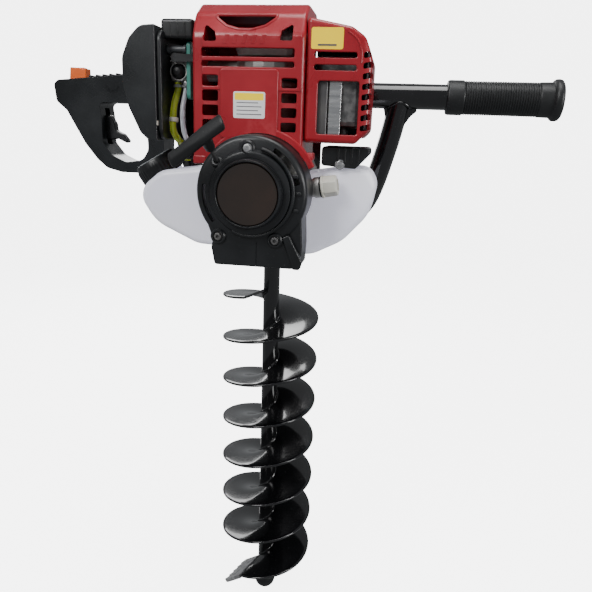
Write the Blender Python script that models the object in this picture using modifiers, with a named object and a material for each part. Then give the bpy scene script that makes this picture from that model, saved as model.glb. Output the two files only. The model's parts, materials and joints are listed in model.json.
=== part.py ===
"""One-person petrol auger: a small four-stroke engine, a worm gearbox and an earth and ice drill.

Sizes are in millimetres. Z runs up the drill's axis from the lowest point of its tip,
+Y points away from the recoil starter and +X towards the plain grip.
"""
from math import acos, asin, cos, pi, radians, sin, tan

import bmesh
import bpy
from mathutils import Matrix, Vector

MM = 0.001
GAP = 0.3                    # clearance where two pieces touch
RUNNING = 1.0                # clearance round a piece that moves
STEPS = 20                   # sides of a round piece
FINE_MERGE = 0.00001         # metres

# Drill
AUGER_DIAMETER = 120.0
AUGER_PITCH = 55.0
FLIGHT_TURNS = 7.0
FLIGHT_TOP = 441.0
FLIGHT_THICKNESS = 3.6
FLIGHT_END_ANGLE = 248.5     # degrees, where the flight starts and ends
DRILL_TUBE_DIAMETER = 20.0
SHAFT_DIAMETER = 14.0
DRILL_TUBE_BOTTOM = 42.0
DRILL_TUBE_TOP = 498.0
TIP_BALL_DIAMETER = 28.0
BLADE_THICKNESS = 5.0
BLADE_LENGTH = 34.0
BLADE_DROP = 38.0            # degrees below level
BLADE_TEETH = 5

# Gearbox
WORM_PITCH_DIAMETER = 12.0
WHEEL_PITCH_DIAMETER = 28.0
WHEEL_TEETH = 28
WHEEL_WIDTH = 10.0
GEARBOX_WALL = 5.7
GEARBOX_FRONT = -50.7
GEARBOX_BOTTOM = 500.0
GEARBOX_TOP = 612.0

# Engine, whose crank runs along Y beside the drill's axis
CRANK_X = (WORM_PITCH_DIAMETER + WHEEL_PITCH_DIAMETER) / 2
CRANK_Z = 578.0
CYLINDER_Y = -135.0
BORE = 39.0
STROKE = 30.0
ROD_LENGTH = 50.0
CRANK_PIN_DIAMETER = 10.0
CRANK_WEB_RADIUS = 22.0
JOURNAL_DIAMETER = 12.0
CRANKCASE_WALL = 4.5
PORT_Z = 680.0
HEAD_TOP = 690.0
STARTER_RADIUS = 48.5
FLYWHEEL_RADIUS = STARTER_RADIUS - 4.5
FLYWHEEL_BLADES = 14
CLUTCH_RADIUS = 30.5
STARTER_REAR = -172.0
STARTER_FRONT = -213.0
SHELL_WALL = 2.5

# Red covers
COVER_LEFT, COVER_RIGHT = -40.0, 57.5
COVER_FRONT, COVER_REAR = -177.0, -98.0
COVER_TOP = 735.0
COVER_BOTTOM = 600.0
TAIL_PIPE = (88.0, -135.0)   # X and Y of the muffler's outlet

# Fuel tank
TANK_FRONT, TANK_REAR = -152.0, -98.0
TANK_WALL = 2.5
CAP_CENTRE = (-93.0, -127.0, 592.0)
CAP_AXIS = (-0.5, -0.15, 0.85)
CAP_RADIUS = 22.0
HOSE_SEATS = ((-60.0, -134.0), (-48.0, -138.0))
HOSE_END = 598.0             # height at which the hoses meet the tank

# Intake side
CARB_LEFT, CARB_RIGHT = -69.7, -52.3
CARB_BOTTOM = 670.0
CLEANER_JOINT = -74.3
PLATE_RIGHT = -48.0          # far side of the insulator plate

# Frame and handles
BAR_DIAMETER = 25.0
BAR_WALL = 2.0
BAR_Y = -53.5
BAR_Z = 667.0
BAR_LEFT, BAR_RIGHT = -140.0, 289.0
STRUT_DIAMETER = 22.0
PLATE_THICKNESS = 5.0
GRIP_DIAMETER = 35.0
GRIP_START, GRIP_END = 185.0, 295.0
HANDLE_THICKNESS = 34.0

UP = (0, 0, 1)
REARWARD = (0, 1, 0)
RIGHTWARD = (1, 0, 0)
FACINGS = {
    "front": Matrix(((1, 0, 0), (0, 0, -1), (0, 1, 0))).to_4x4(),
    "top": Matrix.Identity(4),
    "side": Matrix(((0, 0, 1), (1, 0, 0), (0, 1, 0))).to_4x4(),
}


# ---------------------------------------------------------------- helpers

def clear_scene():
    for old in list(bpy.data.objects):
        bpy.data.objects.remove(old)


def new_collection(name):
    collection = bpy.data.collections.new(name)
    bpy.context.scene.collection.children.link(collection)
    return collection


def finish(name, colour, roughness, metallic=0.0):
    material = bpy.data.materials.new(name)
    material.use_nodes = True
    shader = material.node_tree.nodes["Principled BSDF"]
    shader.inputs["Base Color"].default_value = (*colour, 1.0)
    shader.inputs["Roughness"].default_value = roughness
    shader.inputs["Metallic"].default_value = metallic
    return material


clear_scene()
PARTS = new_collection("petrol_auger")
CUTTERS = new_collection("cutters")

GLOSS_BLACK = finish("gloss_black_paint", (0.012, 0.012, 0.014), 0.18)
BLACK_PLASTIC = finish("black_plastic", (0.02, 0.022, 0.026), 0.45)
BLACK_RUBBER = finish("black_rubber", (0.02, 0.02, 0.022), 0.7)
RED_PLASTIC = finish("red_plastic", (0.42, 0.02, 0.025), 0.3)
WHITE_TANK = finish("milky_tank", (0.82, 0.82, 0.92), 0.4)
IVORY_PLASTIC = finish("ivory_plastic", (0.8, 0.78, 0.7), 0.45)
ORANGE_PLASTIC = finish("orange_plastic", (0.95, 0.2, 0.04), 0.4)
GREEN_PLASTIC = finish("green_plastic", (0.06, 0.22, 0.18), 0.5)
CAST_ALUMINIUM = finish("cast_aluminium", (0.55, 0.55, 0.55), 0.5, 1.0)
BRIGHT_STEEL = finish("bright_steel", (0.6, 0.6, 0.6), 0.3, 1.0)
DARK_STEEL = finish("dark_steel", (0.25, 0.25, 0.26), 0.4, 1.0)
BRONZE = finish("bronze", (0.6, 0.4, 0.15), 0.4, 1.0)
YELLOW_HOSE = finish("yellow_hose", (0.5, 0.6, 0.1), 0.3)
CLEAR_HOSE = finish("clear_hose", (0.6, 0.6, 0.6), 0.2)
FOAM = finish("filter_foam", (0.05, 0.05, 0.05), 0.9)


def pose(at, axis=UP):
    turn = Vector(UP).rotation_difference(Vector(axis)).to_matrix().to_4x4()
    return Matrix.Translation(Vector(at) * MM) @ turn


def add_piece(name, data, material, matrix):
    piece = bpy.data.objects.new(name, data)
    data.materials.append(material)
    PARTS.objects.link(piece)
    piece.matrix_world = matrix
    return piece


def turned(name, material, profile, at=(0, 0, 0), axis=UP, steps=STEPS, ring=False):
    """Spin (radius, height) points, listed from the top down the outer side, about the axis."""
    mesh = bpy.data.meshes.new(name)
    edges = [(i, i + 1) for i in range(len(profile) - 1)]
    if ring:
        edges.append((len(profile) - 1, 0))
    mesh.from_pydata([(radius * MM, 0, height * MM) for radius, height in profile], edges, [])
    piece = add_piece(name, mesh, material, pose(at, axis))
    screw = piece.modifiers.new("Turn", "SCREW")
    screw.steps = screw.render_steps = steps
    screw.use_merge_vertices = True
    screw.merge_threshold = FINE_MERGE
    return piece


def ring(name, material, outer, inner, top, bottom, at=(0, 0, 0), axis=UP, steps=STEPS):
    profile = [(outer, top), (outer, bottom), (inner, bottom), (inner, top)]
    return turned(name, material, profile, at, axis, steps, ring=True)


def on_crank(name, material, profile, steps=STEPS, closed=False):
    """A piece turned about the crank's line, with its profile as (radius, Y), rear first."""
    return turned(name, material, profile, (CRANK_X, 0, CRANK_Z), REARWARD, steps, closed)


def crank_point(depth, raised=0.0):
    """A point on the crank's line, or above it."""
    return (CRANK_X, depth, CRANK_Z + raised)


def rod(name, material, radius, start, end, steps=STEPS):
    """A round bar from one point to another."""
    start, end = Vector(start), Vector(end)
    length = (end - start).length
    mesh = bpy.data.meshes.new(name)
    shape = bmesh.new()
    bmesh.ops.create_cone(shape, cap_ends=True, segments=steps, radius1=radius * MM,
                          radius2=radius * MM, depth=length * MM)
    shape.to_mesh(mesh)
    shape.free()
    mesh.shade_smooth()
    mesh.set_sharp_from_angle(angle=radians(40))
    return add_piece(name, mesh, material, pose((start + end) / 2, end - start))


def box(name, material, low, high, bevel=0.0, segments=2):
    low, high = Vector(low), Vector(high)
    mesh = bpy.data.meshes.new(name)
    shape = bmesh.new()
    bmesh.ops.create_cube(shape, size=1.0)
    bmesh.ops.scale(shape, vec=(high - low) * MM, verts=shape.verts)
    shape.to_mesh(mesh)
    shape.free()
    piece = add_piece(name, mesh, material, pose((low + high) / 2))
    if bevel:
        add_bevel(piece, bevel, segments)
    return piece


def add_bevel(piece, width, segments=2):
    bevel = piece.modifiers.new("Round", "BEVEL")
    bevel.width = width * MM
    bevel.segments = segments
    bevel.limit_method = "ANGLE"
    bevel.angle_limit = radians(35)


def rounded(points, radius, steps=3):
    """The closed outline with each corner replaced by an arc."""
    outline = []
    count = len(points)
    for i in range(count):
        before, corner, after = (Vector(points[(i + k) % count]) for k in (-1, 0, 1))
        to_before = (before - corner).normalized()
        to_after = (after - corner).normalized()
        half = acos(max(-1.0, min(1.0, to_before.dot(to_after)))) / 2
        reach = min(radius / tan(half), (before - corner).length * 0.45, (after - corner).length * 0.45)
        start = corner + to_before * reach
        end = corner + to_after * reach
        for k in range(steps + 1):
            t = k / steps
            outline.append((1 - t) ** 2 * start + 2 * t * (1 - t) * corner + t ** 2 * end)
    return [tuple(point) for point in outline]


def inset(points, distance):
    """The closed, anticlockwise outline moved inwards."""
    moved = []
    count = len(points)
    for i in range(count):
        before, corner, after = (Vector(points[(i + k) % count]) for k in (-1, 0, 1))
        first = (corner - before).normalized()
        second = (after - corner).normalized()
        normals = Vector((-first.y, first.x)) + Vector((-second.y, second.x))
        normal = normals.normalized()
        stretch = distance / max(0.5, normal.dot(Vector((-first.y, first.x))))
        moved.append(tuple(corner + normal * stretch))
    return moved


def arc(centre, radius, start, end, steps):
    """Points on an arc, angles in degrees."""
    angles = [radians(start + (end - start) * i / steps) for i in range(steps + 1)]
    return [(centre[0] + radius * cos(a), centre[1] + radius * sin(a)) for a in angles]


def plate(name, material, outline, low, high, facing="front", holes=(), bevel=0.0, segments=1):
    """A flat piece: an outline in the facing plane, between two depths across it."""
    curve = bpy.data.curves.new(name, "CURVE")
    curve.dimensions = "2D"
    curve.fill_mode = "BOTH"
    curve.extrude = abs(high - low) / 2 * MM
    for loop in (outline, *holes):
        spline = curve.splines.new("POLY")
        spline.points.add(len(loop) - 1)
        spline.use_cyclic_u = True
        for point, (x, y) in zip(spline.points, loop):
            point.co = (x * MM, y * MM, 0, 1)
    middle = (low + high) / 2
    shift = {"front": (0, middle, 0), "top": (0, 0, middle), "side": (middle, 0, 0)}[facing]
    matrix = Matrix.Translation(Vector(shift) * MM) @ FACINGS[facing]
    piece = meshed(add_piece(name, curve, material, matrix))
    if bevel:
        add_bevel(piece, bevel, segments)
    return piece


def smooth_route(points, per_span=6):
    """A smooth curve through the points."""
    points = [Vector(point) for point in points]
    ends = [2 * points[0] - points[1], *points, 2 * points[-1] - points[-2]]
    route = []
    for a, b, c, d in zip(ends, ends[1:], ends[2:], ends[3:]):
        for k in range(per_span):
            t = k / per_span
            route.append(0.5 * (2 * b + (c - a) * t + (2 * a - 5 * b + 4 * c - d) * t ** 2
                                + (3 * b - 3 * c + d - a) * t ** 3))
    return [*route, points[-1]]


def pipe(name, material, points, radius, per_span=6, resolution=2):
    curve = bpy.data.curves.new(name, "CURVE")
    curve.dimensions = "3D"
    curve.bevel_depth = radius * MM
    curve.bevel_resolution = resolution
    curve.use_fill_caps = True
    route = smooth_route(points, per_span)
    spline = curve.splines.new("POLY")
    spline.points.add(len(route) - 1)
    for point, place in zip(spline.points, route):
        point.co = (*(place * MM), 1)
    return add_piece(name, curve, material, Matrix.Identity(4))


def meshed(piece):
    """The same piece as a mesh, which Booleans can use."""
    bpy.context.view_layer.update()
    graph = bpy.context.evaluated_depsgraph_get()
    mesh = bpy.data.meshes.new_from_object(piece.evaluated_get(graph))
    shape = bmesh.new()
    shape.from_mesh(mesh)
    bmesh.ops.remove_doubles(shape, verts=shape.verts, dist=FINE_MERGE / 10)
    shape.to_mesh(mesh)
    shape.free()
    name, matrix = piece.name, piece.matrix_world.copy()
    bpy.data.objects.remove(piece)
    solid = bpy.data.objects.new(name, mesh)
    PARTS.objects.link(solid)
    solid.matrix_world = matrix
    return solid


def combine(piece, operation, others):
    for other in others:
        PARTS.objects.unlink(other)
        CUTTERS.objects.link(other)
        other.hide_render = True
        other.display_type = "WIRE"
        change = piece.modifiers.new(operation.title(), "BOOLEAN")
        change.operation = operation
        change.object = other
    return piece


def cut(piece, *others):
    return combine(piece, "DIFFERENCE", others)


def join(piece, *others):
    return combine(piece, "UNION", others)


def boxes(name, spans):
    """One cutter of several boxes that stay apart."""
    mesh = bpy.data.meshes.new(name)
    shape = bmesh.new()
    for low, high in spans:
        low, high = Vector(low), Vector(high)
        cube = bmesh.ops.create_cube(shape, size=1.0)["verts"]
        bmesh.ops.scale(shape, vec=(high - low) * MM, verts=cube)
        bmesh.ops.translate(shape, vec=(low + high) / 2 * MM, verts=cube)
    shape.to_mesh(mesh)
    shape.free()
    return add_piece(name, mesh, DARK_STEEL, Matrix.Identity(4))


# ---------------------------------------------------------------- drill

def make_drill():
    tube_radius = DRILL_TUBE_DIAMETER / 2
    shaft_radius = SHAFT_DIAMETER / 2
    bolt_z = 474.0
    bolt_radius = 3.0
    tube = ring("auger_tube", GLOSS_BLACK, tube_radius, shaft_radius + GAP,
                DRILL_TUBE_TOP, DRILL_TUBE_BOTTOM)
    bolt_hole = [rod("bolt_hole", DARK_STEEL, bolt_radius + GAP, (-15, 0, bolt_z), (15, 0, bolt_z), 12)
                 for _ in range(2)]
    cut(tube, bolt_hole[0])
    shaft_top = GEARBOX_TOP + 9
    shaft = rod("output_shaft", BRIGHT_STEEL, shaft_radius, (0, 0, 452), (0, 0, shaft_top))
    cut(shaft, bolt_hole[1])
    head, shank = tube_radius + 5, tube_radius + 1
    turned("coupling_bolt", BRIGHT_STEEL,
           [(0, head), (5, head), (5, shank), (bolt_radius, shank), (bolt_radius, -shank),
            (5, -shank), (5, -head), (0, -head)], (0, 0, bolt_z), RIGHTWARD, 12)
    make_flight(tube_radius)
    make_blade(tube_radius)
    ball = TIP_BALL_DIAMETER / 2
    profile = [(0, DRILL_TUBE_BOTTOM + 20), (shaft_radius, DRILL_TUBE_BOTTOM + 20),
               (shaft_radius, DRILL_TUBE_BOTTOM - GAP), (8.5, DRILL_TUBE_BOTTOM - GAP)]
    neck = asin(8.5 / ball)
    for i in range(9):
        angle = neck + (pi - neck) * i / 8
        profile.append((ball * sin(angle), ball + ball * cos(angle)))
    profile[-1] = (0, 0)
    turned("pilot_tip", BLACK_RUBBER, profile, steps=20)


def make_flight(tube_radius):
    mesh = bpy.data.meshes.new("auger_flight")
    inner = tube_radius + GAP + 0.1
    mesh.from_pydata([(inner * MM, 0, 0), (AUGER_DIAMETER / 2 * MM, 0, 0)], [(0, 1)], [])
    start = FLIGHT_END_ANGLE - 360 * FLIGHT_TURNS
    foot = FLIGHT_TOP - AUGER_PITCH * FLIGHT_TURNS
    matrix = Matrix.Translation((0, 0, foot * MM)) @ Matrix.Rotation(radians(start), 4, "Z")
    flight = add_piece("auger_flight", mesh, GLOSS_BLACK, matrix)
    screw = flight.modifiers.new("Helix", "SCREW")
    screw.angle = 2 * pi * FLIGHT_TURNS
    screw.screw_offset = AUGER_PITCH * FLIGHT_TURNS * MM
    screw.steps = screw.render_steps = round(18 * FLIGHT_TURNS)
    screw.use_merge_vertices = False
    solid = flight.modifiers.new("Thickness", "SOLIDIFY")
    solid.thickness = FLIGHT_THICKNESS * MM
    solid.offset = 0


def make_blade(tube_radius):
    """A saw-edged blade that goes on from the flight's lower end, forwards and down."""
    angle = radians(FLIGHT_END_ANGLE)
    foot = FLIGHT_TOP - AUGER_PITCH * FLIGHT_TURNS
    outward = Vector((cos(angle), sin(angle), 0))
    drop = radians(BLADE_DROP)
    forward = Vector((sin(angle) * cos(drop), -cos(angle) * cos(drop), -sin(drop)))
    near, far = tube_radius + 2.5, AUGER_DIAMETER / 2 - 1
    outline = [(far, 2.6), (near, 2.6)]
    step = (far - near) / BLADE_TEETH
    for i in range(BLADE_TEETH):
        outline.append((near + step * i, BLADE_LENGTH - 5))
        outline.append((near + step * (i + 0.8), BLADE_LENGTH))
    outline.append((far, BLADE_LENGTH - 5))
    half = BLADE_THICKNESS / 2
    blade = plate("cutting_blade", DARK_STEEL, outline, -half, half, "top")
    normal = outward.cross(forward)
    frame = Matrix((outward, forward, normal)).transposed().to_4x4()
    blade.matrix_world = Matrix.Translation((0, 0, foot * MM)) @ frame


# ---------------------------------------------------------------- gearbox

def make_gearbox():
    shaft_radius = SHAFT_DIAMETER / 2
    chamber = WHEEL_PITCH_DIAMETER / 2 + 4.3
    worm_bore = WORM_PITCH_DIAMETER / 2 + 3.5
    worm_shaft = 4.6
    outer = chamber + GEARBOX_WALL
    front = GEARBOX_FRONT
    housing = rod("gearbox_housing", CAST_ALUMINIUM, outer, (0, 0, 536), (0, 0, GEARBOX_TOP))
    join(housing,
         box("worm_block", CAST_ALUMINIUM, (CRANK_X - 14, front + 2, CRANK_Z - 16),
             (CRANK_X + 16, 36, CRANK_Z + 16)),
         box("mounting_flange", CAST_ALUMINIUM, (-34, front, 526), (54, front + 6, 622)),
         rod("output_boss", CAST_ALUMINIUM, 17, (0, 0, GEARBOX_BOTTOM), (0, 0, 540)))
    cut(housing,
        rod("wheel_chamber", CAST_ALUMINIUM, chamber, (0, 0, 556), (0, 0, GEARBOX_TOP + 5)),
        rod("bearing_seat", CAST_ALUMINIUM, 13 + GAP, (0, 0, 543.7), (0, 0, 560)),
        rod("seal_seat", CAST_ALUMINIUM, 11 + GAP, (0, 0, GEARBOX_BOTTOM - 5), (0, 0, 507)),
        rod("shaft_bore", CAST_ALUMINIUM, shaft_radius + 0.6, (0, 0, 490), (0, 0, 550)),
        rod("worm_bore", CAST_ALUMINIUM, worm_bore, crank_point(front - 5), crank_point(22)),
        rod("blind_bore", CAST_ALUMINIUM, worm_shaft + GAP, crank_point(20), crank_point(31.8), 24))
    top = GEARBOX_TOP + GAP
    turned("gearbox_cover", CAST_ALUMINIUM,
           [(0, top + 16), (11, top + 16), (12, top + 6), (outer, top + 5), (outer, top),
            (shaft_radius + 0.5, top), (shaft_radius + 0.5, top + 10), (0, top + 10)])
    ring("output_bearing", BRIGHT_STEEL, 13, shaft_radius + GAP, 552, 544)
    ring("output_seal", BLACK_RUBBER, 11, shaft_radius + GAP, 506.5, GEARBOX_BOTTOM + GAP)
    make_wheel(shaft_radius)
    make_worm(worm_shaft)
    on_crank("worm_bearing", BRIGHT_STEEL,
             [(worm_bore - GAP, -40), (worm_bore - GAP, -48), (worm_shaft + GAP, -48),
              (worm_shaft + GAP, -40)], closed=True)


def make_wheel(shaft_radius):
    root, tip = WHEEL_PITCH_DIAMETER / 2 - 1.2, WHEEL_PITCH_DIAMETER / 2 + 0.7
    tooth = 2 * pi / WHEEL_TEETH
    outline = []
    for i in range(WHEEL_TEETH):
        middle = (i + 0.5) * tooth
        for radius, half_width in ((root, -0.8), (tip, -0.55), (tip, 0.55), (root, 0.8)):
            angle = middle + half_width / radius
            outline.append((radius * cos(angle), radius * sin(angle)))
    bore = arc((0, 0), shaft_radius + GAP, 0, 360 - 360 / STEPS, STEPS - 1)
    half = WHEEL_WIDTH / 2
    plate("worm_wheel", BRONZE, outline, CRANK_Z - half, CRANK_Z + half, "top", holes=[bore])


def make_worm(radius):
    lead = pi * WHEEL_PITCH_DIAMETER / WHEEL_TEETH
    turns = 3
    mesh = bpy.data.meshes.new("worm_thread")
    tip = WORM_PITCH_DIAMETER / 2 + 0.8
    mesh.from_pydata([((radius - 0.6) * MM, 0, 0), (tip * MM, 0, 0)], [(0, 1)], [])
    matrix = pose(crank_point(-lead * turns / 2), REARWARD)
    thread = add_piece("worm_thread", mesh, BRIGHT_STEEL, matrix)
    screw = thread.modifiers.new("Helix", "SCREW")
    screw.angle = 2 * pi * turns
    screw.screw_offset = lead * turns * MM
    screw.steps = screw.render_steps = 10 * turns
    screw.use_merge_vertices = False
    solid = thread.modifiers.new("Thickness", "SOLIDIFY")
    solid.thickness = 1.1 * MM
    solid.offset = 0
    shaft = rod("worm_shaft", BRIGHT_STEEL, radius, crank_point(-68), crank_point(31.5), 24)
    join(shaft, thread)


# ---------------------------------------------------------------- clutch and crank

def make_clutch():
    drum = CLUTCH_RADIUS
    hub_bore = 4.9
    on_crank("clutch_drum", DARK_STEEL,
             [(drum + 2.5, -66), (drum + 2.5, -90), (drum, -90), (drum, -69), (hub_bore, -69),
              (hub_bore, -61), (9, -61), (9, -66)], closed=True)
    shell = drum + 6
    on_crank("clutch_housing", CAST_ALUMINIUM,
             [(shell + 3.5, -56.3), (shell + 3.5, -97), (shell, -97), (shell, -59.5), (10.5, -59.5),
              (10.5, -56.3)], closed=True)
    front, rear = -88, -75
    hub = 10.0
    reach = drum - 3
    rotor = on_crank("clutch_rotor", DARK_STEEL, [(0, rear), (hub, rear), (hub, front), (0, front)], 24)
    join(rotor, box("rotor_arms", DARK_STEEL, (CRANK_X - reach, front + 1, CRANK_Z - 3),
                    (CRANK_X + reach, rear - 1, CRANK_Z + 3)))
    bore = JOURNAL_DIAMETER / 2 + GAP
    cut(rotor, rod("rotor_bore", DARK_STEEL, bore, crank_point(front - 5), crank_point(rear + 5), 24))
    shoe = drum - 1.5
    for name, side in (("clutch_shoe_upper", 1), ("clutch_shoe_lower", -1)):
        outer_start = 180 / pi * asin(3.5 / shoe)
        inner_start = 180 / pi * asin(3.5 / (hub + 0.4))
        outline = arc((0, 0), shoe, outer_start, 180 - outer_start, 16)
        outline += arc((0, 0), hub + 0.4, 180 - inner_start, inner_start, 8)
        outline = [(CRANK_X + x, CRANK_Z + side * z) for x, z in outline]
        plate(name, DARK_STEEL, outline, front + 1, rear - 1)


def make_crank():
    radius = JOURNAL_DIAMETER / 2
    half_rod = 4.0
    web_in, web_out = half_rod + 2, half_rod + 8
    y = CYLINDER_Y
    throw = STROKE / 2
    web = CRANK_WEB_RADIUS
    shaft = rod("crankshaft", BRIGHT_STEEL, radius, crank_point(-198.5), crank_point(y - web_in - 2), 24)
    join(shaft,
         rod("front_web", BRIGHT_STEEL, web, crank_point(y - web_out), crank_point(y - web_in), 24),
         rod("crank_pin", BRIGHT_STEEL, CRANK_PIN_DIAMETER / 2, crank_point(y - web_in - 1, throw),
             crank_point(y + web_in + 1, throw), 24),
         rod("rear_web", BRIGHT_STEEL, web, crank_point(y + web_in), crank_point(y + web_out), 24),
         rod("rear_journal", BRIGHT_STEEL, radius, crank_point(y + web_in + 2), crank_point(-74), 24))
    make_flywheel(radius)


def make_flywheel(radius):
    rim = FLYWHEEL_RADIUS
    disc = on_crank("flywheel", CAST_ALUMINIUM, [(0, -178.5), (rim, -178.5), (rim, -186), (0, -186)])
    outline = []
    for i in range(FLYWHEEL_BLADES):
        middle = 2 * pi * i / FLYWHEEL_BLADES
        for distance, half_width in ((15, -1.6), (rim - 1, -1.1), (rim - 1, 1.1), (15, 1.6)):
            angle = middle + half_width / distance
            outline.append((CRANK_X + distance * cos(angle), CRANK_Z + distance * sin(angle)))
    join(disc, plate("fan_blades", CAST_ALUMINIUM, outline, -197, -185))
    cut(disc, rod("flywheel_bore", CAST_ALUMINIUM, radius + GAP, crank_point(-205), crank_point(-170), 24))


# ---------------------------------------------------------------- cylinder and crankcase

def make_crankcase():
    cavity = CRANK_WEB_RADIUS + 3.5
    half = cavity + CRANKCASE_WALL
    front, rear = -168.0, -97.3
    bottom, top = CRANK_Z - half - 7, CRANK_Z + half
    case = box("crankcase", CAST_ALUMINIUM, (CRANK_X - half, front, bottom), (CRANK_X + half, rear, top), 8)
    journal = JOURNAL_DIAMETER / 2 + 0.4
    cut(case,
        rod("crank_room", CAST_ALUMINIUM, cavity, crank_point(CYLINDER_Y - 15),
            crank_point(CYLINDER_Y + 15)),
        rod("journal_bore", CAST_ALUMINIUM, journal, crank_point(front - 5), crank_point(rear + 5), 24),
        rod("barrel_opening", CAST_ALUMINIUM, BORE / 2 + 0.8, crank_point(CYLINDER_Y),
            crank_point(CYLINDER_Y, half + 5)))
    make_cylinder(top + GAP)
    make_piston()
    make_oil_filler(CRANK_X + half + GAP)


def make_cylinder(bottom):
    fin, root = 28.0, 24.0
    bore = BORE / 2 + 0.3
    dead_centre = CRANK_Z + STROKE / 2 + ROD_LENGTH + 14
    profile = [(0, HEAD_TOP), (fin + 2, HEAD_TOP), (fin + 2, HEAD_TOP - 16)]
    fins = 4
    spacing = (HEAD_TOP - 22 - bottom) / fins
    for i in range(fins):
        top = HEAD_TOP - 20 - i * spacing
        profile += [(root, top + 2), (root, top), (fin, top), (fin, top - 2.4)]
    profile += [(root, top - 4.4), (root, bottom + 3), (root + 3, bottom + 3), (root + 3, bottom),
                (bore, bottom), (bore, dead_centre + 7), (0, dead_centre + 7)]
    at = (CRANK_X, CYLINDER_Y, 0)
    barrel = turned("cylinder", CAST_ALUMINIUM, profile, at)
    join(barrel,
         rod("intake_port", CAST_ALUMINIUM, 9, (PLATE_RIGHT + GAP, CYLINDER_Y, PORT_Z),
             (CRANK_X - 15, CYLINDER_Y, PORT_Z), 24))
    plug_axis = Vector((0, 0.8, 0.6))
    plug_seat = Vector((CRANK_X, CYLINDER_Y + 27, HEAD_TOP))
    cut(barrel, rod("plug_hole", CAST_ALUMINIUM, 5.4, plug_seat - plug_axis * 8,
                    plug_seat + plug_axis * 20, 16))
    turned("spark_plug", BRIGHT_STEEL,
           [(0, 32), (2, 32), (2, 28), (4.4, 28), (4.4, 14), (7, 13), (7, 6), (5, 6), (5, -6),
            (0, -6)], plug_seat, plug_axis, 16)
    turned("plug_cap", BLACK_RUBBER,
           [(0, 42), (6, 42), (8, 39), (8, 16), (4.8, 16), (4.8, 33), (0, 33)], plug_seat, plug_axis, 16)
    box("rocker_cover", CAST_ALUMINIUM, (CRANK_X - 27, CYLINDER_Y - 28, HEAD_TOP + GAP),
        (CRANK_X + 27, CYLINDER_Y + 14, HEAD_TOP + 24), 7, 2)


def make_piston():
    pin_z = CRANK_Z + STROKE / 2 + ROD_LENGTH
    crown, skirt = pin_z + 14, pin_z - 13
    outer, inner = BORE / 2, BORE / 2 - 3
    at = (CRANK_X, CYLINDER_Y, 0)
    piston = turned("piston", CAST_ALUMINIUM,
                    [(0, crown), (outer - 0.5, crown), (outer - 0.5, crown - 3), (outer - 1.5, crown - 3),
                     (outer - 1.5, crown - 5), (outer, crown - 5), (outer, skirt), (inner, skirt),
                     (inner, crown - 5), (0, crown - 5)], at)
    join(piston, rod("piston_pin", CAST_ALUMINIUM, 4, (CRANK_X, CYLINDER_Y - inner - 1, pin_z),
                     (CRANK_X, CYLINDER_Y + inner + 1, pin_z), 16))
    sweep = STROKE / 2 + CRANK_PIN_DIAMETER / 2 + RUNNING
    small_end, half_shank, half_foot = 7.0, 3.5, 11.0
    foot_angle = 180 / pi * asin(half_foot / sweep)
    saddle = arc((CRANK_X, CRANK_Z), sweep, 90 + foot_angle, 90 - foot_angle, 8)
    outline = [*saddle, (CRANK_X + half_foot, CRANK_Z + sweep + 3),
               (CRANK_X + half_shank, CRANK_Z + sweep + 8)]
    angle = 180 / pi * asin(half_shank / small_end)
    outline += arc((CRANK_X, pin_z), small_end, -90 + angle, 270 - angle, 16)
    outline += [(CRANK_X - half_shank, CRANK_Z + sweep + 8), (CRANK_X - half_foot, CRANK_Z + sweep + 3)]
    eye = arc((CRANK_X, pin_z), 4 + GAP, 0, 345, 23)
    plate("connecting_rod", DARK_STEEL, outline, CYLINDER_Y - 4, CYLINDER_Y + 4, holes=[eye])


def make_oil_filler(wall):
    direction = Vector((0.97, -0.06, 0.16)).normalized()
    start = Vector((wall + 2.5, -162.5, CRANK_Z))
    neck = rod("oil_filler_neck", CAST_ALUMINIUM, 8, start, start + direction * 22, 24)
    cut(neck, box("neck_trim", CAST_ALUMINIUM, (wall - 30, -190, CRANK_Z - 20), (wall, -140, CRANK_Z + 20)),
        rod("filler_bore", CAST_ALUMINIUM, 6, start + direction * 8, start + direction * 40, 24))
    seat = start + direction * 22
    turned("oil_cap", IVORY_PLASTIC,
           [(0, 15), (9.5, 15), (11, 13), (11, GAP), (5.5, GAP), (5.5, -8), (0, -8)], seat, direction, 6)


# ---------------------------------------------------------------- covers and muffler

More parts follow.
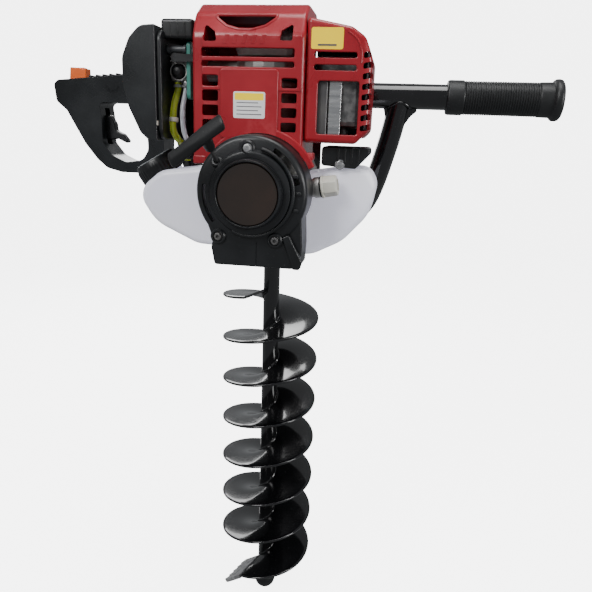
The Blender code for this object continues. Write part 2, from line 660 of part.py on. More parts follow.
def make_top_cover():
    wall = SHELL_WALL
    front, rear, top, bottom = COVER_FRONT, COVER_REAR, COVER_TOP, COVER_BOTTOM
    side = [(front, bottom), (rear, bottom), (rear, top - 7), (rear - 8, top), (front + 27, top),
            (front + 9, top - 11), (front, top - 29)]
    cover = plate("top_cover", RED_PLASTIC, rounded(side, 6, 2), COVER_LEFT, COVER_RIGHT, "side", bevel=4)
    room = [(front + wall, bottom - 5), (rear + 5, bottom - 5), (rear + 5, top - wall),
            (front + 28, top - wall), (front + wall + 8, top - wall - 11), (front + wall, top - wall - 28)]
    panel = box("front_panel", RED_PLASTIC, (-15, front - 1.6, 626), (36, front + 1.5, 679.5), 1, 1)
    centre = (CRANK_X, CRANK_Z)
    clear = STARTER_RADIUS + 0.7
    lip = [*arc(centre, clear + 5.5, 24, 156, 22), *arc(centre, clear - 3, 156, 24, 22)]
    cut(cover, plate("cover_room", RED_PLASTIC, room, COVER_LEFT + wall, COVER_RIGHT - wall, "side"))
    join(cover, panel, plate("starter_lip", RED_PLASTIC, lip, front - 1.5, front + 3.5))
    cut(cover,
        rod("starter_opening", RED_PLASTIC, clear, crank_point(front - 8),
            crank_point(STARTER_REAR + 0.7), 40),
        rod("intake_opening", RED_PLASTIC, 11, (COVER_LEFT - 5, CYLINDER_Y, PORT_Z),
            (COVER_LEFT + 8, CYLINDER_Y, PORT_Z)),
        rod("exhaust_opening", RED_PLASTIC, 10, (COVER_RIGHT - 8, CYLINDER_Y, PORT_Z),
            (COVER_RIGHT + 5, CYLINDER_Y, PORT_Z)),
        boxes("cover_slots", cover_slots(front)),
        plate("arched_opening", RED_PLASTIC, arched_opening(), front - 10, front + 35),
        plate("left_opening", RED_PLASTIC, [(-29, 703), (-18, 703), (-20, 709), (-29, 714)],
              front - 5, front + 20),
        plate("right_opening", RED_PLASTIC, [(36, 704), (46, 704), (46, 716), (37, 710)],
              front - 5, front + 20))


def cover_slots(front):
    """Cooling slots: two long ones over the panel and a column on each side of it."""
    rows = [(-32, 49, 689, 696), (-32, 49, 681, 685)]
    rows += [(-31.5, -17, 665 - 12.2 * i, 674 - 12.2 * i) for i in range(3)]
    rows += [(38.5, 52, 664.5 - 12 * i, 672.5 - 12 * i) for i in range(4)]
    return [((left, front - 5, low), (right, front + 5, high)) for left, right, low, high in rows]


def arched_opening():
    """The wide opening over the panel, with a level top and a bowed lower edge."""
    left, right, top, sag = -20.0, 32.0, 723.0, 9.0
    steps = 8
    bowed = []
    for i in range(steps + 1):
        t = i / steps
        bowed.append((left + 4 + (right - left - 8) * t, top - 4 - sag * 4 * t * (1 - t) * 0.9))
    return [*bowed, (right, top), (left, top)]


def make_muffler_cover():
    front, rear = COVER_FRONT + 5, COVER_REAR - 3
    left = COVER_RIGHT + 0.5
    outline = rounded([(left, 621), (103, 620), (114, 631), (114, 690), (108, 707), (96, 715),
                       (left, 722)], 5, 2)
    cover = plate("muffler_cover", RED_PLASTIC, outline, front, rear, bevel=4)
    room = rounded([(left - 5, 623.5), (102, 622.5), (111.5, 632), (111.5, 689), (106, 705), (95, 712.5),
                    (left - 5, 719.5)], 4, 2)
    rows = [(65, 101, 690, 694.5), (65, 101, 680, 684.5), (69, 104, 628, 671.5)]
    openings = [((low_x, front - 5, low_z), (high_x, front + 5, high_z))
                for low_x, high_x, low_z, high_z in rows]
    louvres = [((106.5, front - 5, 631 + 8.4 * i), (120, front + 26, 635.6 + 8.4 * i))
               for i in range(8)]
    cut(cover, plate("muffler_room", RED_PLASTIC, room, front + SHELL_WALL, rear + 5),
        rod("tail_opening", RED_PLASTIC, 7.5, (*TAIL_PIPE, 610), (*TAIL_PIPE, 640)),
        boxes("muffler_openings", openings + louvres))
    make_muffler()


def make_muffler():
    low, high = (66, -161, 634), (106, -105, 694)
    wall = 2.0
    muffler = box("muffler", DARK_STEEL, low, high, 5)
    inner_low = [value + wall for value in low]
    inner_high = [value - wall for value in high]
    join(muffler,
         rod("exhaust_port", DARK_STEEL, 8, (CRANK_X + 32.6, CYLINDER_Y, PORT_Z),
             (68, CYLINDER_Y, PORT_Z), 24),
         rod("tail_pipe", DARK_STEEL, 6, (*TAIL_PIPE, 620), (*TAIL_PIPE, 637), 20))
    cut(muffler, box("silencer_room", DARK_STEEL, inner_low, inner_high, 4),
        rod("port_bore", DARK_STEEL, 6, (45, CYLINDER_Y, PORT_Z), (75, CYLINDER_Y, PORT_Z), 20),
        rod("tail_bore", DARK_STEEL, 4.5, (*TAIL_PIPE, 610), (*TAIL_PIPE, 645), 20))


# ---------------------------------------------------------------- recoil starter

ROPE_EXIT = Vector((-9.0, -207.0, 603.0))
PULL = Vector((0.02, -0.88, 0.47)).normalized()
GRIP_DIRECTION = Vector((43.0, 0.0, 24.0)).normalized()


def make_starter():
    rear, front, rim, wall = STARTER_REAR, STARTER_FRONT, STARTER_RADIUS, SHELL_WALL
    dome = 34.5
    housing = on_crank("starter_housing", BLACK_PLASTIC,
                       [(0, rear), (rim, rear), (rim, -200), (rim - 3.5, -204), (dome + 2.5, -206),
                        (dome, front), (0, front)], 32)
    skirt = [(-12, 514), (64, 514), (65, 535), (62, 562), (-22, 562), (-12.5, 532)]
    join(housing, plate("skirt", BLACK_PLASTIC, skirt, -203, rear - 0.5))
    cut(housing,
        on_crank("starter_room", BLACK_PLASTIC,
                 [(0, rear + 5), (rim - wall, rear + 5), (rim - wall, -199), (rim - 5, -201.5),
                  (dome + 0.5, -203.5), (dome - wall, front + wall), (0, front + wall)], 32),
        plate("skirt_room", BLACK_PLASTIC, inset(skirt, wall), -200.5, rear + 5),
        rod("reel_opening", BLACK_PLASTIC, 9, crank_point(front - 5), crank_point(front + 8), 24),
        rod("rope_opening", BLACK_PLASTIC, 3, ROPE_EXIT - PULL * 8, ROPE_EXIT + PULL * 8, 16),
        plate("upper_slot", BLACK_PLASTIC, slot_outline(37.5, 42.5, 12, 62), -215, -195),
        plate("left_slot", BLACK_PLASTIC, slot_outline(39.5, 42.5, 172, 218), -215, -195))
    reel = 24.5
    flange = dome - wall - 1
    on_crank("starter_reel", BLACK_PLASTIC,
             [(0, -200), (flange, -200), (flange, -201.5), (reel, -201.5), (reel, -208.3), (flange, -208.3),
              (flange, -209.8), (8, -209.8), (8, -218.5), (0, -218.5)])
    cap = 29.0
    on_crank("starter_cap", BLACK_PLASTIC,
             [(0, -219.3), (cap - 3.5, -219.3), (cap - 3.5, front - GAP), (cap, front - GAP),
              (cap, front - 6), (cap - 3, -222), (0, -222)])
    make_recoil_spring(front, cap - 5)
    make_starter_grip()


def slot_outline(inner, outer, start, end):
    centre = (CRANK_X, CRANK_Z)
    return [*arc(centre, outer, start, end, 10), *arc(centre, inner, end, start, 10)]


def make_recoil_spring(front, outer):
    """A flat coiled strip between the reel's hub and the cap."""
    low, high = front - 5.6, front - 1.2
    turns, inner, per_turn = 4, 9.2, 14
    mesh = bpy.data.meshes.new("recoil_spring")
    count = round(turns * per_turn)
    points, faces = [], []
    for i in range(count + 1):
        angle = 2 * pi * i / per_turn
        radius = inner + (outer - inner) * i / count
        for depth in (low, high):
            points.append((radius * cos(angle) * MM, radius * sin(angle) * MM, depth * MM))
    for i in range(count):
        faces.append((2 * i, 2 * i + 2, 2 * i + 3, 2 * i + 1))
    mesh.from_pydata(points, [], faces)
    spring = add_piece("recoil_spring", mesh, BRIGHT_STEEL, pose((CRANK_X, 0, CRANK_Z), REARWARD))
    solid = spring.modifiers.new("Strip", "SOLIDIFY")
    solid.thickness = 0.8 * MM
    solid.offset = 0


def make_starter_grip():
    bar_radius, half_length = 6.3, 27.0
    neck_start = ROPE_EXIT + PULL * 24
    bar_middle = ROPE_EXIT + PULL * 48 - GRIP_DIRECTION * 8
    end = bar_radius * 0.6
    grip = turned("starter_grip", BLACK_RUBBER,
                  [(0, half_length), (bar_radius - 2, half_length), (bar_radius, half_length - end),
                   (bar_radius, end - half_length), (bar_radius - 2, -half_length), (0, -half_length)],
                  bar_middle, GRIP_DIRECTION, 20)
    join(grip, rod("grip_neck", BLACK_RUBBER, 5, neck_start, neck_start + PULL * 22, 20))
    rod("starter_rope", BLACK_RUBBER, 1.8, ROPE_EXIT - PULL * 1, neck_start - PULL * GAP, 12)


# ---------------------------------------------------------------- fuel tank

def make_tank():
    inner_left, inner_right, floor = CRANK_X - 34, CRANK_X + 34, 537.0
    outline = [(inner_left, floor), (inner_left, 600), (-84, 590), (-106, 568), (-88, 540), (-46, 520),
               (66, 516), (94, 531), (118, 558), (124, 584), (116, 598), (98, 600), (inner_right, 592),
               (inner_right, floor)]
    shape = rounded(outline, 14, 2)
    tank = plate("fuel_tank", WHITE_TANK, shape, TANK_FRONT, TANK_REAR, bevel=9, segments=1)
    axis = Vector(CAP_AXIS).normalized()
    centre = Vector(CAP_CENTRE)
    neck = CAP_RADIUS - 5
    join(tank, rod("filler_neck", WHITE_TANK, neck, centre - axis * 34, centre + axis * 4, 24))
    for x, y in HOSE_SEATS:
        join(tank, rod("hose_nipple", WHITE_TANK, 2.2, (x, y, 583), (x, y, HOSE_END), 10))
    hollow = rounded(inset(outline, TANK_WALL), 11.5, 1)
    cut(tank,
        plate("tank_room", WHITE_TANK, hollow, TANK_FRONT + TANK_WALL, TANK_REAR - TANK_WALL, bevel=7),
        ring("cap_recess", WHITE_TANK, CAP_RADIUS + 3, neck - 0.1, 16, -12, centre, axis),
        rod("neck_bore", WHITE_TANK, neck - 2.5, centre - axis * 28, centre + axis * 10, 24))
    turned("fuel_cap", BLACK_PLASTIC,
           [(0, 10), (CAP_RADIUS - 3, 10), (CAP_RADIUS, 7), (CAP_RADIUS, -11), (neck + 0.6, -11),
            (neck + 0.6, 6.5), (0, 6.5)], centre, axis, 36)


# ---------------------------------------------------------------- intake side

def make_intake():
    y, z = CYLINDER_Y, PORT_Z
    port = arc((y, z), 7, 0, 345, 23)
    gasket = rounded([(y - 22, 654), (y + 22, 654), (y + 22, 703.5), (y - 22, 703.5)], 5, 2)
    plate("insulator_plate", GREEN_PLASTIC, gasket, CARB_RIGHT + GAP, PLATE_RIGHT, "side", holes=[port])
    body_low, body_high = (CARB_LEFT, y - 15, CARB_BOTTOM), (CARB_RIGHT, y + 15, z + 16)
    carb = box("carburettor", CAST_ALUMINIUM, body_low, body_high, 2, 1)
    bulb_at = Vector(((CARB_LEFT + CARB_RIGHT) / 2, y - 15, CARB_BOTTOM + 8))
    bulb_radius = 6.5
    cut(carb, rod("venturi", CAST_ALUMINIUM, 7, (CARB_LEFT - 5, y + 3, z), (CARB_RIGHT + 5, y + 3, z), 24),
        rod("bulb_seat", CAST_ALUMINIUM, bulb_radius + 0.5, bulb_at + Vector((0, -5, 0)),
            bulb_at + Vector((0, 6, 0)), 20))
    turned("primer_bulb", CLEAR_HOSE,
           [(0, 1), (bulb_radius, 1), (bulb_radius, -2), (bulb_radius * 0.86, -5),
            (bulb_radius * 0.5, -7.2), (0, -8)], bulb_at, REARWARD, 20)
    lever_at = (bulb_at.x, z + 9)
    lever = [*arc(lever_at, 4, 60, 300, 8), (lever_at[0] + 16, lever_at[1] - 3),
             (lever_at[0] + 16, lever_at[1] + 3)]
    plate("choke_lever", BLACK_PLASTIC, lever, y - 26, y - 23.5)
    join(carb, rod("choke_spindle", CAST_ALUMINIUM, 2.5, (lever_at[0], y - 10, lever_at[1]),
                   (lever_at[0], y - 23.5 + GAP, lever_at[1]), 12))
    arm_at = (bulb_at.x, y)
    arm_end = arm_at[1] + 19
    arm = [*arc(arm_at, 4, 150, 390, 8), (arm_at[0] + 2.5, arm_end), (arm_at[0] - 2.5, arm_end)]
    plate("throttle_arm", BRIGHT_STEEL, arm, z + 16 + GAP, z + 18.5, "top")
    make_air_cleaner(y, z)


def make_air_cleaner(y, z):
    left, joint, right = -105.0, CLEANER_JOINT, CARB_LEFT - GAP
    front, rear = -175.0, -100.0
    floor = rounded([(front + 3, 618), (rear - 3, 618), (rear - 3, 711), (front + 3, 711)], 10, 2)
    base = plate("air_cleaner_base", BLACK_PLASTIC, floor, joint + GAP, right, "side",
                 holes=[arc((y, z), 7, 0, 345, 23)])
    join(base, box("hood", BLACK_PLASTIC, (joint + 1, front + 12, 704), (-43, rear - 14, 721), 2, 1))
    outline = [(joint, 617), (joint, 715), (-88, 714), (-98, 704), (left, 688), (left, 666),
               (-100.5, 646), (-90, 624), (-82, 617)]
    cover = plate("air_cleaner_cover", BLACK_PLASTIC, rounded(outline, 6, 2), front, rear,
                  bevel=5, segments=2)
    room = inset([(x + (8 if x == joint else 0), height) for x, height in outline], SHELL_WALL)
    cut(cover, plate("cleaner_room", BLACK_PLASTIC, room, front + SHELL_WALL, rear - SHELL_WALL))
    box("air_filter", FOAM, (-92, front + 12, 638), (joint - 1, rear - 12, 698), 3, 1)


def make_hoses():
    carb_floor = CARB_BOTTOM - 2 * GAP
    pipe("fuel_hose", YELLOW_HOSE,
         [(-64.5, -145, carb_floor), (-64.5, -145, 663), (-66, -153, 645), (-65.5, -155, 625),
          (HOSE_SEATS[0][0], -140, 611), (*HOSE_SEATS[0], 604), (*HOSE_SEATS[0], HOSE_END + GAP)], 3.2, 3)
    pipe("return_hose", CLEAR_HOSE,
         [(-57, -145, carb_floor), (-57, -145, 663), (-58, -152, 643), (-55, -154, 622),
          (HOSE_SEATS[1][0], -144, 611), (*HOSE_SEATS[1], 604), (*HOSE_SEATS[1], HOSE_END + GAP)], 2.4, 3)


# ---------------------------------------------------------------- frame and handles

def make_frame():
    radius = BAR_DIAMETER / 2
    ring("handlebar_tube", GLOSS_BLACK, radius, radius - BAR_WALL, BAR_RIGHT, BAR_LEFT,
         (0, BAR_Y, BAR_Z), RIGHTWARD)
    plate_left, plate_right = CRANK_X - 60, CRANK_X + 40
    low, high = BAR_Y - PLATE_THICKNESS / 2, BAR_Y + PLATE_THICKNESS / 2
    outline = rounded([(plate_left, 520), (plate_right, 520), (plate_right, 628), (plate_left, 628)], 10, 3)
    hub_hole = arc((CRANK_X, CRANK_Z), 10.5, 0, 345, 23)
    plate("frame_plate", GLOSS_BLACK, outline, low, high, holes=[hub_hole])
    bar_cut = BAR_DIAMETER / 2 + GAP
    routes = {
        "strut_right": [(139.5, 664), (129, 615), (112, 562), (88, 540), (plate_right - 5, 532)],
        "strut_left": [(-97, 664), (-88, 615), (-74, 566), (-60, 544), (plate_left + 5, 536)],
    }
    for name, route in routes.items():
        strut = meshed(pipe(name, GLOSS_BLACK, [(x, BAR_Y, z) for x, z in route], STRUT_DIAMETER / 2, 4, 3))
        cut(strut,
            rod(name + "_cope", GLOSS_BLACK, bar_cut, (BAR_LEFT, BAR_Y, BAR_Z), (BAR_RIGHT, BAR_Y, BAR_Z)),
            box(name + "_trim", GLOSS_BLACK, (plate_left - GAP, BAR_Y - 20, 500),
                (plate_right + GAP, BAR_Y + 20, 640)))
    make_right_grip(radius)


def make_right_grip(radius):
    outer = GRIP_DIAMETER / 2
    inner = radius + GAP
    profile = [(0, GRIP_END), (outer + 1.5, GRIP_END), (outer + 2.5, GRIP_END - 2), (outer, GRIP_END - 7),
               (outer, GRIP_END - 22)]
    ribs = 3
    span = (GRIP_END - 22 - GRIP_START - 20) / ribs
    for i in range(ribs):
        start = GRIP_END - 22 - i * span
        profile += [(outer - 0.9, start - 0.6), (outer - 0.9, start - 2.2), (outer, start - 2.8),
                    (outer, start - span)]
    profile += [(inner, GRIP_START), (inner, BAR_RIGHT + GAP), (0, BAR_RIGHT + GAP)]
    turned("right_grip", BLACK_RUBBER, profile, (0, BAR_Y, BAR_Z), RIGHTWARD)


TRIGGER_PIVOT = (-186.0, 634.0)
TRIGGER_THICKNESS = 10.0


def make_throttle_handle():
    outer = [(-231, 670), (-226, 674), (-108, 684), (-107, 640), (-109, 600), (-116, 584), (-132, 579),
             (-157, 579), (-174, 583), (-185, 592), (-198, 608), (-209, 627), (-218, 643), (-229, 652)]
    finger_gap = [(-180, 652), (-128, 652), (-126, 604), (-133, 593), (-152, 590), (-167, 596.5),
                  (-178, 610), (-178, 637)]
    middle, half = BAR_Y, HANDLE_THICKNESS / 2
    seam = 0.15
    shape, gap_shape = rounded(outer, 5, 1), rounded(finger_gap, 6, 2)
    halves = (("handle_front_half", middle - half, middle - seam),
              ("handle_rear_half", middle + seam, middle + half))
    for name, low, high in halves:
        shell = plate(name, BLACK_PLASTIC, shape, low, high, holes=[gap_shape], bevel=2)
        pocket = TRIGGER_THICKNESS / 2 + GAP
        cut(shell,
            rod(name + "_bar_seat", BLACK_PLASTIC, BAR_DIAMETER / 2 + GAP, (BAR_LEFT - GAP, middle, BAR_Z),
                (-100, middle, BAR_Z)),
            box(name + "_trigger_pocket", BLACK_PLASTIC, (-195, middle - pocket, 608),
                (-165, middle + pocket, 646)),
            box(name + "_switch_seat", BLACK_PLASTIC, (-221, middle - 6.4, 670.5), (-192, middle + 6.4, 690)))
    make_trigger(middle)
    box("stop_switch", ORANGE_PLASTIC, (-219, middle - 6, 671), (-199, middle + 6, 688), 1.5, 1)
    face = middle - half
    pipe("throttle_cable", BLACK_RUBBER,
         [(-122, face - 4 * GAP, 668), (-122, face - 6, 668), (-104, face - 14, 677), (-86, face - 20, 689),
          (-72, -93, 698), (-63, -101, 701), (-61, -112, 698.6)], 2.2, 3)


def make_trigger(middle):
    x, z = TRIGGER_PIVOT
    outline = [(-6, 2), (4, 6), (12, 5), (17, -4), (17, -12), (27, -16), (32, -23), (29, -25), (20, -20),
               (13, -21), (4, -20), (-5, -8)]
    shape = rounded([(x + across, z + up) for across, up in outline], 3, 2)
    half = TRIGGER_THICKNESS / 2
    plate("throttle_trigger", BLACK_PLASTIC, shape, middle - half, middle + half, bevel=1)


make_drill()
make_gearbox()
make_clutch()
make_crank()
make_crankcase()
make_top_cover()
make_muffler_cover()
make_starter()
make_tank()
make_intake()
make_hoses()
make_frame()
make_throttle_handle()
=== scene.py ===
import json
from math import acos, asin, atan2, cos, pi, radians, sin, sqrt, tan

import bmesh
import bpy
from mathutils import Matrix, Vector


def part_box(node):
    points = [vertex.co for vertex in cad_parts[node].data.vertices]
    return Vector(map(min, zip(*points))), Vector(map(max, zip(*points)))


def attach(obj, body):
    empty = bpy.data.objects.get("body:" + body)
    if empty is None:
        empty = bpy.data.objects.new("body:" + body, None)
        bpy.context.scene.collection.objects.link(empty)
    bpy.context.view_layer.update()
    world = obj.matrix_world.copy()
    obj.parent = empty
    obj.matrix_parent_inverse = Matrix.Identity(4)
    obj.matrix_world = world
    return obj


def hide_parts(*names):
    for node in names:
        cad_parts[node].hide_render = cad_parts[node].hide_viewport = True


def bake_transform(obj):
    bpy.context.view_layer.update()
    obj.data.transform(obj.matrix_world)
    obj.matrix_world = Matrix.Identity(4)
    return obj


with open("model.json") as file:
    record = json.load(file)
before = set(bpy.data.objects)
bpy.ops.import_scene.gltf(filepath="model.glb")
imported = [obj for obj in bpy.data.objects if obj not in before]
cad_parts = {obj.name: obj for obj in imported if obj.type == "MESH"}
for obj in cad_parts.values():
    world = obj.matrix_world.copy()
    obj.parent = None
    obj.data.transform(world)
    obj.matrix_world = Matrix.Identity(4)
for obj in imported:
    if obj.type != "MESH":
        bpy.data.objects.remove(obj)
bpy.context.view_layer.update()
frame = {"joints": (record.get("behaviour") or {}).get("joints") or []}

# sizes are in millimetres, in the model's own frame: Z up the drill, +Y away from the starter
mm = 0.001
right, up = Vector((1, 0, 0)), Vector((0, 0, 1))


def nodeBox(node):
    low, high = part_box(node)
    return low / mm, high / mm


def jointLine(name):
    joint = next(j for j in frame["joints"] if j["name"] == name)
    return Vector(joint.get("pos_m", (0, 0, 0))) / mm, Vector(joint["axis"]).normalized()


crankCentre = jointLine("crank_spin")[0]
crankX, crankZ = crankCentre.x, crankCentre.z
cylinderY = crankCentre.y
print("frame loaded")


# finishes: each has its own colour change, roughness change and fine relief
def noiseNode(tree, coords, scale, detail=3.0, stretch=None):
    texture = tree.nodes.new("ShaderNodeTexNoise")
    texture.inputs["Scale"].default_value = scale
    texture.inputs["Detail"].default_value = detail
    if stretch:
        mapping = tree.nodes.new("ShaderNodeMapping")
        mapping.inputs["Scale"].default_value = stretch
        tree.links.new(coords, mapping.inputs["Vector"])
        coords = mapping.outputs["Vector"]
    tree.links.new(coords, texture.inputs["Vector"])
    return texture.outputs["Fac"]


def rangeNode(tree, value, low, high, start=0.3, end=0.7):
    node = tree.nodes.new("ShaderNodeMapRange")
    for socket, number in (("From Min", start), ("From Max", end), ("To Min", low), ("To Max", high)):
        node.inputs[socket].default_value = number
    tree.links.new(value, node.inputs["Value"])
    return node.outputs["Result"]


def mixColours(tree, fac, first, second):
    mix = tree.nodes.new("ShaderNodeMix")
    mix.data_type = "RGBA"
    tree.links.new(fac, mix.inputs["Factor"])
    for socket, colour in ((mix.inputs[6], first), (mix.inputs[7], second)):
        if isinstance(colour, tuple):
            socket.default_value = (*colour, 1.0)
        else:
            tree.links.new(colour, socket)
    return mix.outputs[2]


def makeFinish(name, look):
    finish = bpy.data.materials.new(name)
    finish.use_nodes = True
    tree = finish.node_tree
    shader = tree.nodes["Principled BSDF"]
    for socket, value in look.get("shader", {}).items():
        shader.inputs[socket].default_value = value
    coords = tree.nodes.new("ShaderNodeTexCoord").outputs["Object"]
    broad = noiseNode(tree, coords, look.get("cloudScale", 22), 4, look.get("stretch"))
    fine = noiseNode(tree, coords, look.get("grainScale", 900), 2, look.get("stretch"))
    colour = mixColours(tree, rangeNode(tree, broad, 0, 1), look["dark"], look["light"])
    if "wearAndSheen" in look:
        # bare metal worn through on the outer edges of the steels; on the red plastic the paler red on its
        # edges is a painted highlight
        edge = tree.nodes.new("ShaderNodeNewGeometry").outputs["Pointiness"]
        wornAndSheenEdges = rangeNode(tree, edge, 0, look["wearAndSheenAmount"], 0.53, 0.62)
        patchy = tree.nodes.new("ShaderNodeMath")
        patchy.operation = "MULTIPLY"
        tree.links.new(wornAndSheenEdges, patchy.inputs[0])
        tree.links.new(rangeNode(tree, noiseNode(tree, coords, 160, 3), 0.2, 1.0, 0.4, 0.6),
                       patchy.inputs[1])
        colour = mixColours(tree, patchy.outputs[0], colour, look["wearAndSheen"])
    if "speck" in look:
        dust = rangeNode(tree, noiseNode(tree, coords, 420, 5), 0, look.get("speckAmount", 0.5), 0.66, 0.72)
        colour = mixColours(tree, dust, colour, look["speck"])
    tree.links.new(colour, shader.inputs["Base Color"])
    rough = rangeNode(tree, broad, *look["rough"])
    tree.links.new(rough, shader.inputs["Roughness"])
    bump = tree.nodes.new("ShaderNodeBump")
    bump.inputs["Strength"].default_value = look.get("relief", 0.1)
    bump.inputs["Distance"].default_value = look.get("reliefDepth", 0.0003)
    tree.links.new(fine, bump.inputs["Height"])
    tree.links.new(bump.outputs["Normal"], shader.inputs["Normal"])
    return finish


finishLooks = {
    "glossBlackPaint": {"dark": (0.002, 0.002, 0.0025), "light": (0.006, 0.006, 0.007), "rough": (0.1, 0.2),
                        "shader": {"Coat Weight": 0.6, "Coat Roughness": 0.05}, "grainScale": 260,
                        "relief": 0.05, "reliefDepth": 0.0006, "speck": (0.07, 0.07, 0.075),
                        "speckAmount": 0.3},
    "blackPlastic": {"dark": (0.004, 0.0045, 0.005), "light": (0.010, 0.011, 0.013), "rough": (0.3, 0.44),
                     "grainScale": 1500, "relief": 0.25, "reliefDepth": 0.0002, "speck": (0.05, 0.055, 0.06),
                     "speckAmount": 0.35},
    "blackRubber": {"dark": (0.004, 0.0045, 0.005), "light": (0.010, 0.011, 0.012), "rough": (0.4, 0.56),
                    "grainScale": 1900, "relief": 0.3, "reliefDepth": 0.0002, "speck": (0.05, 0.05, 0.052),
                    "speckAmount": 0.4},
    # the red's paler edge colour stands in for the sheen on its rounded edges: a painted highlight
    "redPlastic": {"dark": (0.27, 0.005, 0.012), "light": (0.36, 0.009, 0.018), "rough": (0.24, 0.36),
                   "shader": {"Coat Weight": 0.25, "Coat Roughness": 0.2}, "grainScale": 900, "relief": 0.12,
                   "wearAndSheen": (0.60, 0.10, 0.11), "wearAndSheenAmount": 0.5},
    "milkyTank": {"dark": (0.84, 0.84, 0.98), "light": (0.93, 0.93, 1.0), "rough": (0.28, 0.4),
                  "shader": {"Subsurface Weight": 0.5, "Subsurface Scale": 0.012,
                             "Subsurface Radius": (1.0, 1.0, 1.0)},
                  "cloudScale": 14, "grainScale": 500, "relief": 0.12},
    "ivoryPlastic": {"dark": (0.62, 0.60, 0.52), "light": (0.78, 0.76, 0.68), "rough": (0.38, 0.5),
                     "relief": 0.15, "speck": (0.35, 0.33, 0.28), "speckAmount": 0.4},
    "orangePlastic": {"dark": (0.90, 0.14, 0.015), "light": (1.0, 0.20, 0.03), "rough": (0.3, 0.42),
                      "relief": 0.15},
    "greenPlastic": {"dark": (0.030, 0.20, 0.16), "light": (0.06, 0.28, 0.22), "rough": (0.4, 0.55),
                     "relief": 0.3},
    "castAluminium": {"dark": (0.36, 0.35, 0.34), "light": (0.52, 0.51, 0.49), "rough": (0.42, 0.58),
                      "shader": {"Metallic": 0.85}, "grainScale": 800, "relief": 0.6, "reliefDepth": 0.0004,
                      "speck": (0.2, 0.19, 0.18)},
    "brightSteel": {"dark": (0.52, 0.52, 0.53), "light": (0.68, 0.68, 0.68), "rough": (0.2, 0.34),
                    "shader": {"Metallic": 1.0}, "stretch": (1, 1, 14), "grainScale": 500, "relief": 0.12},
    "darkSteel": {"dark": (0.07, 0.07, 0.075), "light": (0.16, 0.155, 0.15), "rough": (0.35, 0.55),
                  "shader": {"Metallic": 0.8}, "relief": 0.4, "wearAndSheen": (0.42, 0.41, 0.40), "wearAndSheenAmount": 0.8},
    "groundSteel": {"dark": (0.20, 0.20, 0.205), "light": (0.34, 0.335, 0.33), "rough": (0.3, 0.5),
                    "shader": {"Metallic": 0.9}, "relief": 0.5, "wearAndSheen": (0.6, 0.6, 0.6), "wearAndSheenAmount": 0.9},
    "bronze": {"dark": (0.42, 0.25, 0.08), "light": (0.58, 0.37, 0.14), "rough": (0.28, 0.42),
               "shader": {"Metallic": 1.0}, "relief": 0.2},
    "yellowHose": {"dark": (0.42, 0.50, 0.03), "light": (0.62, 0.70, 0.08), "rough": (0.12, 0.22),
                   "shader": {"Transmission Weight": 0.35, "IOR": 1.42, "Coat Weight": 0.4}, "relief": 0.05},
    "clearHose": {"dark": (0.52, 0.53, 0.58), "light": (0.72, 0.73, 0.77), "rough": (0.08, 0.18),
                  "shader": {"Transmission Weight": 0.6, "IOR": 1.42, "Coat Weight": 0.4}, "relief": 0.05},
    "filterFoam": {"dark": (0.02, 0.02, 0.02), "light": (0.06, 0.06, 0.06), "rough": (0.85, 0.98),
                   "grainScale": 700, "relief": 1.0, "reliefDepth": 0.001},
    "smokedDisc": {"dark": (0.009, 0.004, 0.002), "light": (0.022, 0.010, 0.005), "rough": (0.08, 0.16),
                   "shader": {"Coat Weight": 1.0, "Coat Roughness": 0.03}, "grainScale": 120,
                   "relief": 0.04},
    # the cap's top finish is a painted highlight: the black cap's top made lighter grey where light falls on
    # it
    "capTopHighlight": {"dark": (0.16, 0.18, 0.19), "light": (0.24, 0.26, 0.27), "rough": (0.45, 0.6), "relief": 0.4,
                "speck": (0.05, 0.055, 0.06), "speckAmount": 0.7},
    "greyNylon": {"dark": (0.30, 0.30, 0.31), "light": (0.42, 0.42, 0.43), "rough": (0.4, 0.5),
                  "relief": 0.2},
    "yellowLabel": {"dark": (0.95, 0.66, 0.0), "light": (1.0, 0.74, 0.0), "rough": (0.3, 0.4),
                    "relief": 0.05},
    "whiteLabel": {"dark": (0.80, 0.80, 0.80), "light": (0.88, 0.88, 0.88), "rough": (0.3, 0.4),
                   "relief": 0.05},
    "ropeBlack": {"dark": (0.008, 0.008, 0.009), "light": (0.05, 0.05, 0.05), "rough": (0.6, 0.8),
                  "grainScale": 1400, "relief": 0.6},
    "greyNylonDark": {"dark": (0.05, 0.055, 0.06), "light": (0.09, 0.10, 0.105), "rough": (0.35, 0.5),
                      "relief": 0.15},
    "satinCover": {"dark": (0.008, 0.009, 0.010), "light": (0.016, 0.018, 0.020), "rough": (0.26, 0.36),
                   "grainScale": 1300, "relief": 0.25, "speck": (0.04, 0.04, 0.045), "speckAmount": 0.25},
    "satinBlack": {"dark": (0.007, 0.008, 0.009), "light": (0.014, 0.016, 0.018), "rough": (0.2, 0.34),
                   "grainScale": 700, "relief": 0.35, "reliefDepth": 0.0003, "speck": (0.04, 0.04, 0.045),
                   "speckAmount": 0.25},
    "inkGrey": {"dark": (0.06, 0.06, 0.06), "light": (0.12, 0.12, 0.12), "rough": (0.4, 0.5),
                "relief": 0.05},
}
finishes = {name: makeFinish(name, look) for name, look in finishLooks.items()}
# painted light: the milky tank and the yellow labels get a faint emission, so they look brighter than the
# lamps alone make them
paintedGlow = {"milkyTank": ((0.84, 0.84, 1.0, 1), 0.3), "yellowLabel": ((1.0, 0.62, 0.0, 1), 0.22)}
for name, (tint, strength) in paintedGlow.items():
    shader = next(n for n in finishes[name].node_tree.nodes if n.type == "BSDF_PRINCIPLED")
    shader.inputs["Emission Color"].default_value = tint
    shader.inputs["Emission Strength"].default_value = strength
print("finishes made")


